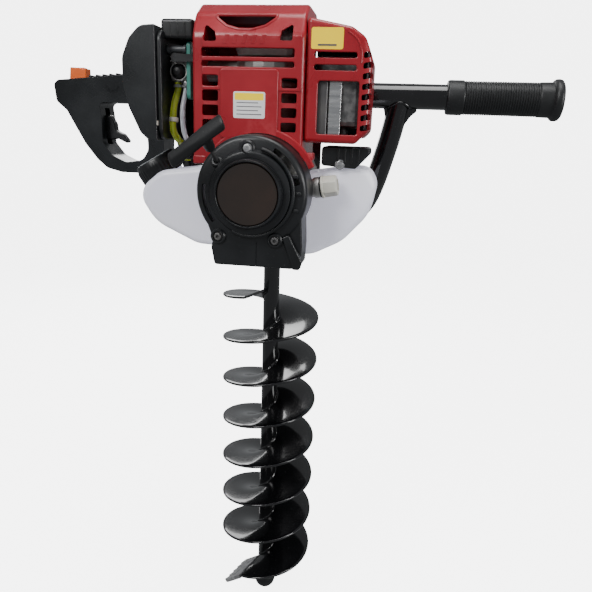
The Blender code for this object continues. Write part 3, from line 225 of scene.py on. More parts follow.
# shapes: every maker returns an object whose mesh is in place, in metres
def newShape(mesh):
    shape = bpy.data.objects.new(mesh.name, mesh)
    bpy.context.scene.collection.objects.link(shape)
    return shape


def meshFrom(points, faces, name="shape"):
    mesh = bpy.data.meshes.new(name)
    mesh.from_pydata([Vector(p) * mm for p in points], [], faces)
    mesh.update()
    return mesh


def settle(shape):
    # applies the modifiers, so that what follows works on the final mesh
    bpy.context.view_layer.update()
    graph = bpy.context.evaluated_depsgraph_get()
    mesh = bpy.data.meshes.new_from_object(shape.evaluated_get(graph))
    mesh.transform(shape.matrix_world)
    shape.modifiers.clear()
    shape.data = mesh
    shape.matrix_world = Matrix.Identity(4)
    return shape


def reshape(shape, operation, others):
    for other in others:
        change = shape.modifiers.new(operation, "BOOLEAN")
        change.operation = operation
        change.solver = "EXACT"
        change.object = other
    settle(shape)
    for other in others:
        bpy.data.objects.remove(other)
    return shape


def carve(shape, *others):
    return reshape(shape, "DIFFERENCE", others)


def fuse(shape, *others):
    return reshape(shape, "UNION", others)


def gather(name, shapes):
    # several separate solids in one mesh
    joined = bmesh.new()
    for shape in shapes:
        joined.from_mesh(shape.data)
        bpy.data.objects.remove(shape)
    mesh = bpy.data.meshes.new(name)
    joined.to_mesh(mesh)
    joined.free()
    return newShape(mesh)


def soften(shape, width, segments=3, angle=35):
    bevel = shape.modifiers.new("Round", "BEVEL")
    bevel.width = width * mm
    bevel.segments = segments
    bevel.limit_method = "ANGLE"
    bevel.angle_limit = radians(angle)
    bevel.miter_outer = "MITER_ARC"
    return settle(shape)


def place(shape, name, finish, body="root", stands=(), sharp=38, weighted=True):
    shape.name = name
    shape.data.name = name
    shape.data.materials.clear()
    shape.data.materials.append(finishes[finish])
    shape.data.shade_smooth()
    shape.data.set_sharp_from_angle(angle=radians(sharp))
    if weighted:
        normals = shape.modifiers.new("Normals", "WEIGHTED_NORMAL")
        normals.keep_sharp = True
    if body:
        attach(shape, body)
    if stands:
        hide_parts(*stands)
    return shape


def turnTo(axis):
    return up.rotation_difference(Vector(axis)).to_matrix().to_4x4()


def atAxis(shape, at, axis=up):
    shape.data.transform(Matrix.Translation(Vector(at) * mm) @ turnTo(axis))
    return shape


def roundCorners(points, radius, steps=4, closed=True):
    rounded = []
    count = len(points)
    for i in range(count):
        corner = Vector(points[i])
        if not closed and i in (0, count - 1):
            rounded.append(tuple(corner))
            continue
        before, after = Vector(points[i - 1]), Vector(points[(i + 1) % count])
        toBefore, toAfter = (before - corner).normalized(), (after - corner).normalized()
        half = acos(max(-1.0, min(1.0, toBefore.dot(toAfter)))) / 2
        if half > 1.53:
            rounded.append(tuple(corner))
            continue
        size = radius[i] if isinstance(radius, (list, tuple)) else radius
        reach = min(size / tan(half), (before - corner).length * 0.48, (after - corner).length * 0.48)
        if reach < 0.01:
            rounded.append(tuple(corner))
            continue
        bisector = (toBefore + toAfter).normalized()
        centre = corner + bisector * reach / cos(half)
        arm = corner + toBefore * reach - centre
        sweep = pi - 2 * half
        turn = 1 if toBefore.x * toAfter.y - toBefore.y * toAfter.x < 0 else -1
        for k in range(steps + 1):
            angle = turn * sweep * k / steps
            rounded.append(tuple(centre + Vector((arm.x * cos(angle) - arm.y * sin(angle),
                                                  arm.x * sin(angle) + arm.y * cos(angle)))))
    return rounded


def ringPoints(centre, radius, start=0, end=360, steps=48):
    count = steps if end - start == 360 else steps + 1
    return [(centre[0] + radius * cos(radians(start + (end - start) * i / steps)),
             centre[1] + radius * sin(radians(start + (end - start) * i / steps))) for i in range(count)]


def offsetLoop(points, distance):
    # moves a closed, anticlockwise outline inwards
    moved = []
    count = len(points)
    for i in range(count):
        before, corner, after = Vector(points[i - 1]), Vector(points[i]), Vector(points[(i + 1) % count])
        first, second = (corner - before).normalized(), (after - corner).normalized()
        normal = (Vector((-first.y, first.x)) + Vector((-second.y, second.x))).normalized()
        moved.append(tuple(corner + normal * distance / max(0.5, normal.dot(Vector((-first.y, first.x))))))
    return moved


facings = {
    "front": Matrix(((1, 0, 0), (0, 0, -1), (0, 1, 0))).to_4x4(),
    "top": Matrix.Identity(4),
    "side": Matrix(((0, 0, 1), (1, 0, 0), (0, 1, 0))).to_4x4(),
}


def slab(outline, low, high, facing="front", holes=(), edge=0, segments=4):
    # a flat outline with a depth: front is an X Z outline, side a Y Z outline, top an X Y outline
    curve = bpy.data.curves.new("slab", "CURVE")
    curve.dimensions = "2D"
    curve.fill_mode = "BOTH"
    curve.extrude = abs(high - low) / 2 * mm
    for loop in (outline, *holes):
        spline = curve.splines.new("POLY")
        spline.points.add(len(loop) - 1)
        spline.use_cyclic_u = True
        for point, (x, y) in zip(spline.points, loop):
            point.co = (x * mm, y * mm, 0, 1)
    shape = newShape(curve)
    middle = (low + high) / 2
    shift = {"front": (0, middle, 0), "top": (0, 0, middle), "side": (middle, 0, 0)}[facing]
    shape.matrix_world = Matrix.Translation(Vector(shift) * mm) @ facings[facing]
    bpy.context.view_layer.update()
    mesh = bpy.data.meshes.new_from_object(shape.evaluated_get(bpy.context.evaluated_depsgraph_get()))
    mesh.transform(shape.matrix_world)
    bpy.data.objects.remove(shape)
    clean = bmesh.new()
    clean.from_mesh(mesh)
    bmesh.ops.remove_doubles(clean, verts=clean.verts, dist=0.000002)
    bmesh.ops.dissolve_limit(clean, angle_limit=radians(0.5), verts=clean.verts, edges=clean.edges)
    clean.to_mesh(mesh)
    clean.free()
    solid = newShape(mesh)
    return soften(solid, edge, segments) if edge else solid


def lathe(profile, at=(0, 0, 0), axis=up, steps=72, closed=False):
    # turns (radius, height) points, listed from the top down the outer side
    points, rings = [], []
    for radius, height in profile:
        if radius < 1e-6:
            rings.append([len(points)])
            points.append((0, 0, height))
        else:
            rings.append(list(range(len(points), len(points) + steps)))
            points += [(radius * cos(2 * pi * k / steps), radius * sin(2 * pi * k / steps), height)
                       for k in range(steps)]
    pairs = list(zip(rings, rings[1:]))
    if closed:
        pairs.append((rings[-1], rings[0]))
    faces = []
    for upper, lower in pairs:
        for k in range(steps):
            n = (k + 1) % steps
            if len(upper) == 1 and len(lower) > 1:
                faces.append((upper[0], lower[k], lower[n]))
            elif len(lower) == 1 and len(upper) > 1:
                faces.append((upper[k], lower[0], upper[n]))
            elif len(upper) > 1:
                faces.append((upper[k], lower[k], lower[n], upper[n]))
    return atAxis(newShape(meshFrom(points, faces)), at, axis)


def bar(start, end, radius, edge=0.0, steps=48):
    start, end = Vector(start), Vector(end)
    length = (end - start).length
    profile = [(0, length), (radius, length), (radius, 0), (0, 0)]
    if edge:
        profile = roundCorners(profile, [0, edge, edge, 0], 4, closed=False)
    return lathe(profile, start, end - start, steps)


def hoop(outer, inner, top, bottom, at, axis=up, edge=0.0, steps=72):
    profile = [(inner, top), (outer, top), (outer, bottom), (inner, bottom)]
    if edge:
        profile = roundCorners(profile, edge, 3)
    return lathe(profile, at, axis, steps, closed=True)


def block(low, high, edge=0, segments=3):
    low, high = Vector(low), Vector(high)
    mesh = bpy.data.meshes.new("block")
    cube = bmesh.new()
    bmesh.ops.create_cube(cube, size=1.0)
    bmesh.ops.scale(cube, vec=(high - low) * mm, verts=cube.verts)
    bmesh.ops.translate(cube, vec=(low + high) / 2 * mm, verts=cube.verts)
    cube.to_mesh(mesh)
    cube.free()
    shape = newShape(mesh)
    return soften(shape, edge, segments) if edge else shape


def smoothRoute(points, perSpan=10):
    points = [Vector(point) for point in points]
    ends = [2 * points[0] - points[1], *points, 2 * points[-1] - points[-2]]
    route = []
    for a, b, c, d in zip(ends, ends[1:], ends[2:], ends[3:]):
        for k in range(perSpan):
            t = k / perSpan
            route.append(0.5 * (2 * b + (c - a) * t + (2 * a - 5 * b + 4 * c - d) * t ** 2
                                + (3 * b - 3 * c + d - a) * t ** 3))
    return [*route, points[-1]]


def tube(route, radius, sides=20, closed=False, flat=1.0):
    # sweeps a round along the route; flat squeezes it across the second direction
    count = len(route)
    points, faces = [], []
    side = None
    for i, spot in enumerate(route):
        ahead = route[(i + 1) % count] if closed or i < count - 1 else spot
        behind = route[i - 1] if closed or i > 0 else spot
        along = (Vector(ahead) - Vector(behind)).normalized()
        if side is None:
            side = along.orthogonal().normalized()
        side = (side - along * side.dot(along)).normalized()
        other = along.cross(side)
        size = radius(i / max(1, count - 1)) if callable(radius) else radius
        for k in range(sides):
            angle = 2 * pi * k / sides
            points.append(Vector(spot) + side * size * cos(angle) + other * size * flat * sin(angle))
    spans = count if closed else count - 1
    for i in range(spans):
        for k in range(sides):
            n = (k + 1) % sides
            a, b = i * sides, ((i + 1) % count) * sides
            faces.append((a + k, a + n, b + n, b + k))
    if not closed:
        faces.append(tuple(range(sides))[::-1])
        faces.append(tuple(range((count - 1) * sides, count * sides)))
    return newShape(meshFrom(points, faces))


def slotCutter(outline, frontY, backY, flare=0.8):
    # a cutter whose mouth opens out, which leaves a rounded edge on the face at frontY
    levels = [(flare, frontY - 3)] + [(flare * (1 - sin(pi / 2 * k / 3)),
                                       frontY + flare * (1 - cos(pi / 2 * k / 3)))
                                      for k in range(4)] + [(0, backY)]
    points, count = [], len(outline)
    for grow, depth in levels:
        points += [(x, depth, z) for x, z in offsetLoop(outline, -grow)]
    faces = [tuple(range(count)), tuple(range((len(levels) - 1) * count, len(levels) * count))[::-1]]
    for level in range(len(levels) - 1):
        for k in range(count):
            n = (k + 1) % count
            a, b = level * count, (level + 1) * count
            faces.append((a + n, a + k, b + k, b + n))
    return newShape(meshFrom(points, faces))


def roundedBox(left, far, low, high, radius, steps=4):
    return roundCorners([(left, low), (far, low), (far, high), (left, high)], radius, steps)


def screw(at, axis, radius=3.2, height=2.6, socket="hex", washer=0.0):
    # a socket screw's head, with its washer
    profile = roundCorners([(0, height), (radius, height), (radius, 0), (0, 0)], [0, 0.6, 0.05, 0], 3,
                           closed=False)
    head = lathe(profile, steps=36)
    if socket == "hex":
        recess = lathe([(0, height + 1), (radius * 0.5, height + 1), (radius * 0.5, height * 0.35),
                        (0, height * 0.35)],
                       steps=6)
        carve(head, recess)
    else:
        arm, width = radius * 0.62, radius * 0.16
        carve(head, block((-arm, -width, height - 1.1), (arm, width, height + 1)),
              block((-width, -arm, height - 1.1), (width, arm, height + 1)))
    shapes = [head]
    if washer:
        shapes.append(hoop(radius + washer, radius * 0.5, 0.0, -0.8, (0, 0, 0), up, 0.2, 36))
    return atAxis(gather("screw", shapes), at, axis)


# red covers
coverLow, coverHigh = nodeBox("top_cover")
coverFront, coverRear = coverLow.y + 1.6, coverHigh.y
coverLeft, coverRight = coverLow.x, nodeBox("muffler_cover")[0].x - 0.5
coverTop, coverBase = coverHigh.z, coverHigh.z - 135
faceAxis = (0, -1, 0)


# places count from the cover's left edge and foot
coverLook = {"wall": 2.5, "edge": 3.2,
             "arch": [(20, 123), (20, 120), (29, 113.5), (40, 110.5), (52, 110.5), (63, 113.5), (72, 120),
                      (72, 123)],
             "corners": [[(10, 101), (22, 101), (20, 109), (11, 115)],
                         [(76, 102), (87, 102), (87, 116), (77, 110)]],
             "longSlots": [(8, 89, 89, 96), (8, 89, 81, 85.5)], "ribs": (27, 35, 43, 51, 59)}


def coverProfile(inset=0.0):
    # depth and height, from the foot of the front face round to the back
    face, rear, top = coverFront + inset, coverRear - inset, coverTop - inset
    foot = coverBase - (20 if inset else 0)
    corners = [(face, foot), (rear, foot), (rear, top - 7), (rear - 8, top), (face + 27, top),
               (face + 9, top - 11), (face, top - 29)]
    return roundCorners(corners, [0, 0, 3, 5, 16, 16, 14], 6)


def makeTopCover():
    shell = slab(coverProfile(), coverLeft, coverRight, "side", edge=coverLook["edge"], segments=5)
    wall = coverLook["wall"]
    room = slab(coverProfile(wall), coverLeft + wall, coverRight - wall, "side")
    carve(shell, room)
    panel = slab(roundedBox(coverLeft + 25, coverLeft + 76, coverBase + 22, coverBase + 79.5, 3),
                 coverFront - 1.6,
                 coverFront + 1.2, edge=1.0)
    lip = [*ringPoints((crankX, crankZ), 54.4, 24, 156, 60),
           *ringPoints((crankX, crankZ), 46.5, 24, 156, 60)[::-1]]
    ridge = slab(lip, coverFront - 1.5, coverFront + 3.4, edge=1.2)
    step = slab(roundedBox(coverLeft + 9, coverRight - 1.5, coverBase + 62, coverTop - 29, 2),
                coverFront - 0.7,
                coverFront + 1, edge=0.6)
    fuse(shell, step, panel, ridge)
    carve(shell, bar((crankX, coverFront - 8, crankZ), (crankX, coverFront + 8, crankZ), 49.2, steps=120))
    cutters = []
    slots = list(coverLook["longSlots"])
    slots += [(8.5, 23, 65 - 12.2 * i, 74 - 12.2 * i) for i in range(4)]
    slots += [(78.5, 92, 64.5 - 12 * i, 72.5 - 12 * i) for i in range(4)]
    for start, end, low, high in slots:
        outline = roundedBox(coverLeft + start, coverLeft + end, coverBase + low, coverBase + high, 1.6, 3)
        cutters.append(slotCutter(outline, coverFront - 0.7, coverFront + 6))
    carve(shell, *cutters)
    archLoop = roundCorners([(coverLeft + x, coverBase + z) for x, z in coverLook["arch"]], 3, 5)
    holes = [archLoop]
    for corners in coverLook["corners"]:
        holes.append(roundCorners([(coverLeft + x, coverBase + z) for x, z in corners], 1.5, 3))
    carve(shell, *[slab(loop, coverFront - 12, coverFront + 24, "front") for loop in holes])
    # slanted ribs across the band under the arch
    ribs = [slab([(coverLeft + x, coverBase + 99), (coverLeft + x + 4.2, coverBase + 99),
                  (coverLeft + x + 6.4, coverBase + 106.5), (coverLeft + x + 2.2, coverBase + 106.5)],
                 coverFront - 0.9, coverFront + 8, edge=0.5) for x in coverLook["ribs"]]
    # fixing lugs where the cover meets the starter
    lugs = []
    for x, z in ((coverLeft + 3, coverBase + 2), (coverLeft + 99, coverBase + 8)):
        lugs.append(slab(roundCorners([(x - 3, z - 3.5), (x + 9, z - 2.5), (x + 9, z + 4), (x - 3, z + 4)],
                                      1.5, 3),
                         coverFront - 0.4, coverFront + 12, edge=0.9))
    place(gather("red_top_cover", [shell, *ribs, *lugs]), "red_top_cover", "redPlastic",
          stands=["top_cover"])


def faceDepth(z):
    # how far back the sloping front lies at a height
    rise = z - (coverTop - 29)
    if rise <= 0:
        return coverFront
    return coverFront + (rise * 0.5 if rise < 18 else 9 + (rise - 18) * 1.6)


def makeArchRim():
    # a rolled edge round the opening at the top of the cover
    loop = roundCorners([(coverLeft + x, coverBase + z) for x, z in coverLook["arch"]], 3, 8)
    dense = []
    for k in range(len(loop)):
        a, b = Vector(loop[k]), Vector(loop[(k + 1) % len(loop)])
        count = max(1, int((b - a).length / 2))
        dense += [a + (b - a) * i / count for i in range(count)]
    route = [(x, faceDepth(z) + 0.9, z) for x, z in dense]
    place(tube(route, 1.5, 12, closed=True), "arch_rim", "redPlastic")


def makeCoverLabel():
    low, high = coverLeft + 37, coverLeft + 65
    base, top = coverBase + 39, coverBase + 61
    face = coverFront - 1.75
    place(slab(roundedBox(low, high, base, top, 1.6), face, face + 0.4, edge=0.1), "notice_label",
          "whiteLabel")
    place(slab(roundedBox(low + 1.3, high - 1.3, top - 7, top - 1.2, 1.0), face - 0.08, face + 0.1),
          "notice_band", "yellowLabel")
    lines = [block((low + 3, face - 0.08, base + 3 + 3.2 * i), (high - 3 - 3 * (i % 2), face + 0.1,
                                                                  base + 3.7 + 3.2 * i)) for i in range(4)]
    place(gather("notice_lines", lines), "notice_lines", "inkGrey")


def makeMufflerCover():
    low, high = nodeBox("muffler_cover")
    left, rightSide, base = low.x, high.x, low.z
    top = base + 102
    corners = [(left, base + 1), (rightSide - 11, base), (rightSide, base + 11), (rightSide, top - 32),
               (rightSide - 6.5, top - 15), (rightSide - 18.5, top - 7), (left, top)]
    outline = roundCorners(corners, [0, 6, 8, 14, 12, 12, 0], 7)
    shell = slab(outline, low.y, high.y, edge=4.0, segments=5)
    room = [(left - 5, base - 5), (rightSide - 11.5, base - 5), (rightSide - 2.5, base + 11),
            (rightSide - 2.5, top - 32),
            (rightSide - 8.5, top - 16.5), (rightSide - 19.5, top - 9.5), (left - 5, top - 2.6)]
    carve(shell, slab(room, low.y + 2.5, high.y + 6))
    inner = roundedBox(left + 11, rightSide - 10, base + 8, base + 51.5, 2.0)
    cutters = [slotCutter(inner, low.y, low.y + 8, 1.1)]
    for foot, head in ((70, 74.5), (60, 64.5)):
        cutters.append(slotCutter(roundedBox(left + 7, rightSide - 13, base + foot, base + head, 1.8), low.y,
                                  low.y + 8))
    for i in range(8):
        start = base + 11 + 8.4 * i
        louvre = [(rightSide - 7.5, start), (rightSide + 4, start + 2.6), (rightSide + 4, start + 7.4),
                  (rightSide - 7.5, start + 4.8)]
        cutters.append(slab(roundCorners(louvre, 1.2, 2), low.y - 5, low.y + 27))
    carve(shell, *cutters)
    # raised line that follows the rounded shoulder
    shoulder = [(rightSide - 21, top - 11.5), (rightSide - 13, top - 18), (rightSide - 9.5, top - 27),
                (rightSide - 9.2, top - 36)]
    line = tube(smoothRoute([(x, low.y + 0.35, z) for x, z in shoulder], 8), 0.9, 10)
    # the lower wall returns under the window
    sill = slab(roundedBox(left + 1, rightSide - 13, base + 0.4, base + 3, 1), low.y + 4, high.y - 12,
                edge=0.6)
    place(gather("red_muffler_cover", [shell, line, sill]), "red_muffler_cover", "redPlastic",
          stands=["muffler_cover"])
    # dark wall between the cover and the engine
    wall = [(left + 0.5, base + 3), (rightSide - 12, base + 3), (rightSide - 3.5, base + 12),
            (rightSide - 3.5, top - 32), (rightSide - 9.5, top - 17), (rightSide - 20, top - 10.5),
            (left + 0.5, top - 4)]
    backWall = slab(roundCorners(wall, 2, 3), high.y - 2, high.y - 0.5, edge=0.5)
    sideWall = block((rightSide - 5.2, low.y + 5, base + 13), (rightSide - 3.6, high.y - 2.4, base + 80),
                     0.4)
    place(gather("cover_wall", [backWall, sideWall]), "cover_wall", "blackPlastic")
    # what shows through the window
    muffLow = nodeBox("muffler")[0]
    place(slab(roundedBox(left + 20, left + 31, base + 6, base + 54, 1), muffLow.y - 4, muffLow.y - 0.3,
               edge=1.2),
          "heat_band", "brightSteel")
    shields = [slab(roundedBox(left + 6, left + 19, base + 5, base + 54, 1.5), muffLow.y - 6,
                    muffLow.y - 0.3,
                    edge=1.2)]
    place(gather("heat_shield", shields), "heat_shield", "darkSteel")
    # sticker on the shoulder
    sticker = roundedBox(left + 4, rightSide - 25, base + 76.5, base + 93.5, 1.8)
    place(slab(sticker, low.y - 0.02, low.y + 0.5, edge=0.1), "shoulder_sticker", "yellowLabel")
    place(slab(roundedBox(left + 9.5, rightSide - 30.5, base + 79, base + 80.6, 0.6), low.y - 0.12,
               low.y + 0.1),
          "sticker_line", "inkGrey")


def makeHeatGuard():
    # ribbed guard below the muffler's cover
    low, high = nodeBox("muffler_cover")
    x0, x1, top = low.x + 15, low.x + 58, low.z - 2.4
    body = slab(roundCorners([(x0, top - 17), (x1 - 12, top - 19), (x1, top - 6), (x1, top), (x0, top)], 3,
                             4),
                low.y + 14, high.y - 16, edge=1.6)
    ribs = [slab(roundedBox(x0 + 14 + 6 * i, x0 + 16 + 6 * i, top - 15, top - 1, 0.6), low.y + 13,
                 low.y + 16,
                 edge=0.4) for i in range(4)]
    place(gather("heat_guard", [body, *ribs]), "heat_guard", "blackPlastic")
    place(screw((x0 + 17, low.y + 14, top - 15.5), faceAxis, 3.4, 3.2, washer=1.2), "guard_screw",
          "brightSteel")


makeTopCover()
makeArchRim()
makeCoverLabel()
makeMufflerCover()
makeHeatGuard()
print("covers made")


# starter
starterLow, starterHigh = nodeBox("starter_housing")
starterFront, starterRear = starterLow.y, starterHigh.y


def starterArc(inner, outer, start, end, low, high, edge=0.0):
    centre = (crankX, crankZ)
    loop = [*ringPoints(centre, outer, start, end, 40), *ringPoints(centre, inner, start, end, 40)[::-1]]
    return slab(loop, low, high, edge=edge)


def makeStarterHousing():
    depth = starterRear - starterFront
    # drum outside, then the stepped face inwards; heights count forwards from the rear edge
    profile = [(26.5, depth - 3), (26.5, depth - 0.5), (27.5, depth), (33.0, depth), (34.6, depth - 0.8),
               (35.4, depth - 3),
               (36.4, depth - 5), (44.2, depth - 5.4), (46.6, depth - 6.4), (48.0, depth - 8.6),
               (48.4, depth - 12),
               (48.4, 0), (46.0, 0), (46.0, depth - 9), (44.0, depth - 8), (26.5, depth - 8)]
    drum = lathe(profile, (crankX, starterRear, crankZ), faceAxis, 120, closed=True)
    skirt = [(-32, -64), (44, -64), (45, -43), (43.5, -16), (-43.5, -16), (-32.5, -46)]
    skirtLoop = roundCorners([(crankX + x, crankZ + z) for x, z in skirt], [4, 5, 6, 2, 2, 10], 5)
    plate = slab(skirtLoop, starterFront + 8.2, starterRear - 0.5, edge=2.2, segments=4)
    hollow = roundCorners([(crankX + x, crankZ + z) for x, z in ((-29, -67), (41, -67), (42, -43), (40, -22),
                                                               (-40, -22), (-29.5, -46))], 4, 4)
    carve(plate, slab(hollow, starterFront + 11.5, starterRear + 4),
          bar((crankX, starterFront, crankZ), (crankX, starterRear + 5, crankZ), 46.2, steps=120))
    fuse(drum, plate)
    # apron: a shallower plate in front of the skirt, with a slanted wing at the right
    apron = roundCorners([(crankX + x, crankZ + z) for x,
                          z in ((-32, -63.6), (40, -63.6), (36, -54), (28, -36),
                                                              (20, -34), (10, -40), (-12, -40), (-24, -33),
                                                              (-32, -36), (-35, -48))], 3, 4)
    wing = roundCorners([(crankX + x, crankZ + z) for x, z in ((28, -36), (34, -33), (46, -56), (44, -63.6),
                                                             (38, -63.6))], 2, 3)
    fuse(drum, slab(apron, starterFront + 5.6, starterFront + 12, edge=1.8, segments=4),
         slab(wing, starterFront + 3.6, starterFront + 12, edge=1.4, segments=3))
    # bosses of the screws
    bosses = [(-3, 37), (-28, -38), (22, -39)]
    for x, z in bosses:
        at = Vector((crankX + x, starterFront + 9, crankZ + z))
        fuse(drum, lathe([(0, 6), (5.6, 6), (6.6, 5), (7.2, -2), (0, -2)], at, faceAxis, 48))
    cutters = [bar((crankX + x, starterFront - 3, crankZ + z), (crankX + x, starterFront + 5, crankZ + z),
                   4.4)
               for x, z in bosses]
    cutters.append(starterArc(37.8, 43.0, 12, 62, starterFront - 3, starterFront + 12))
    cutters.append(starterArc(39.5, 42.6, 172, 218, starterFront - 3, starterFront + 12))
    seam = block((crankX + 5.4, starterFront + 4, crankZ - 70),
                 (crankX + 6.2, starterFront + 6.2, crankZ - 41))
    cutters.append(seam)
    carve(drum, *cutters)
    # scroll-shaped rib that winds in towards the rope's exit
    rib = []
    for k in range(61):
        angle = radians(75 - 190 * k / 60)
        radius = 38.0 - 2.4 * k / 60
        rib.append((crankX + radius * cos(angle), starterFront + 2.6, crankZ + radius * sin(angle)))
    ribs = [tube(rib, 1.7, 12)]
    for angle in (-18, 2, 22):
        spot = Vector((crankX + 41 * cos(radians(angle)), starterFront + 4.8,
                       crankZ + 41 * sin(radians(angle))))
        ribs.append(block(spot - Vector((2.4, 1.2, 1.4)), spot + Vector((2.4, 1.2, 1.4)), 0.6))
    # the spout that the rope comes out of
    start, line = ropeStart, ropeLine
    spout = roundCorners([(2.4, 2.6), (4.9, 2.6), (6.0, -7), (2.4, -7)], [0.8, 1.6, 0.1, 0.1], 4)
    ribs.append(lathe(spout, start, line, 48, closed=True))
    place(gather("starter_case", [drum, *ribs]), "starter_case", "blackPlastic", stands=["starter_housing"])


def makeStarterScrews():
    shapes = []
    for x, z in ((-3, 37), (-28, -38), (22, -39)):
        shapes.append(screw((crankX + x, starterFront + 4.8, crankZ + z), faceAxis, 3.3, 2.6, washer=0.7))
    place(gather("starter_screws", shapes[:1]), "starter_screw", "brightSteel")
    place(gather("skirt_screws", shapes[1:]), "skirt_screws", "darkSteel")


def makeStarterCap():
    low, high = nodeBox("starter_cap")
    depth = high.y - low.y
    rim = [(26.0, 0), (26.0, depth - 1.6), (26.8, depth - 0.5), (27.8, depth - 0.6), (28.8, depth - 2.4),
           (29.0, 0.2)]
    place(lathe(rim[::-1], (crankX, high.y, crankZ), faceAxis, 120, closed=True), "cap_rim",
          "blackPlastic", stands=["starter_cap"])
    disc = [(0, depth - 0.4), (12, depth - 0.55), (20, depth - 1.0), (25.2, depth - 1.7),
            (25.95, depth - 2.6),
            (25.95, 0.6), (0, 0.6)]
    place(lathe(disc, (crankX, high.y, crankZ), faceAxis, 120), "cap_disc", "smokedDisc")


ropeLine = jointLine("starter_pull")[1]
ropeStart = Vector((-9.0, -207.0, 603.0))
gripAlong = Vector((43, 0, 24)).normalized()


def makeStarterGrip():
    barCentre = ropeStart + ropeLine * 43.4 - gripAlong * 8
    half = 26.6
    profile = [(0, half), (4.2, half), (5.6, half - 0.8), (6.1, half - 2.4), (6.15, 8), (5.9, 0), (6.15, -8),
               (6.1, 2.4 - half), (5.6, 0.8 - half), (4.2, -half), (0, -half)]
    grip = lathe(profile, barCentre, gripAlong, 48)
    # squared sides, like a moulded handle
    face = ropeLine.cross(gripAlong).normalized()
    for vertex in grip.data.vertices:
        arm = vertex.co / mm - barCentre
        along = gripAlong * arm.dot(gripAlong)
        across, ahead = arm.dot(face), arm.dot(ropeLine)
        angle = atan2(across, ahead)
        square = 1 / (abs(cos(angle)) ** 4 + abs(sin(angle)) ** 4) ** 0.25
        radius = sqrt(across ** 2 + ahead ** 2) * square * 0.88
        vertex.co = (barCentre + along + face * radius * sin(angle) + ropeLine * radius * cos(angle)) * mm
    neck = lathe([(0, 20), (5.3, 20), (4.9, 13), (4.3, 2), (3.6, 0), (0, 0)], ropeStart + ropeLine * 24.2,
                 ropeLine, 40)
    fuse(grip, neck)
    place(grip, "pull_handle", "blackRubber", "pull_grip", stands=["starter_grip"])


def makeStarterRope():
    # braided cord: one end sits in the housing, the other at the handle; the piece is in no body, so it
    # doesn't go out with the handle
    length = 22.0
    points, faces = [], []
    rings, sides = 110, 16
    side = ropeLine.orthogonal().normalized()
    other = ropeLine.cross(side)
    for i in range(rings + 1):
        t = i / rings
        for k in range(sides):
            angle = 2 * pi * k / sides
            weave = 0.12 * sin(4 * angle + t * 60) * sin(4 * angle - t * 60)
            radius = 1.62 + weave
            points.append(ropeStart + ropeLine * (1.5 + (length + 2) * t)
                          + (side * cos(angle) + other * sin(angle)) * radius)
    for i in range(rings):
        for k in range(sides):
            n = (k + 1) % sides
            faces.append((i * sides + k, i * sides + n, (i + 1) * sides + n, (i + 1) * sides + k))
    faces.append(tuple(range(sides))[::-1])
    faces.append(tuple(range(rings * sides, (rings + 1) * sides)))
    rope = place(newShape(meshFrom(points, faces)), "pull_rope", "ropeBlack", body=None,
                 stands=["starter_rope"],
                 weighted=False)
    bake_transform(rope)


makeStarterHousing()
makeStarterScrews()
makeStarterCap()
makeStarterGrip()
makeStarterRope()
print("starter made")


# fuel tank and what sits on it: the outline counts from under the crank's axis
tankLook = {"outline": [(-34, 21), (-34, 82), (-102, 73), (-127, 52), (-108, 23), (-66, 4), (46, 0),
                        (75, 15),
                        (99, 42), (104, 68), (96, 83), (78, 84), (34, 76), (34, 21)],
            "rounding": [6, 6, 22, 24, 40, 30, 30, 40, 40, 18, 14, 22, 6, 6], "edge": 13}


def makeTank():
    low, high = nodeBox("fuel_tank")
    corners = [(crankX + x, low.z + z) for x, z in tankLook["outline"]]
    outline = roundCorners(corners, tankLook["rounding"], 10)
    return slab(outline, low.y, high.y, edge=tankLook["edge"], segments=12)


def orient(shape):
    # makes every face point out
    mesh = bmesh.new()
    mesh.from_mesh(shape.data)
    bmesh.ops.recalc_face_normals(mesh, faces=mesh.faces)
    mesh.to_mesh(shape.data)
    mesh.free()
    return shape


capLow, capHigh = nodeBox("fuel_cap")
capAxis = jointLine("fuel_cap_turn")[1]
capCentre = (capLow + capHigh) / 2


def makeTankPieces():
    tank = makeTank()
    neck = lathe([(0, 12), (16.5, 12), (18, 4), (19.5, -6), (21.5, -20), (0, -20)], capCentre - capAxis * 4,
                 capAxis, 72)
    place(gather("milky_fuel_tank", [tank, neck]), "milky_fuel_tank", "milkyTank", stands=["fuel_tank"],
          sharp=50)
    grommets = [hoop(4.9, 2.0, 4.2, 0.0, (x, y, z), up, 0.8, 40) for (x, y, z) in hoseSeats]
    place(gather("hose_grommets", grommets), "hose_grommets", "blackRubber")


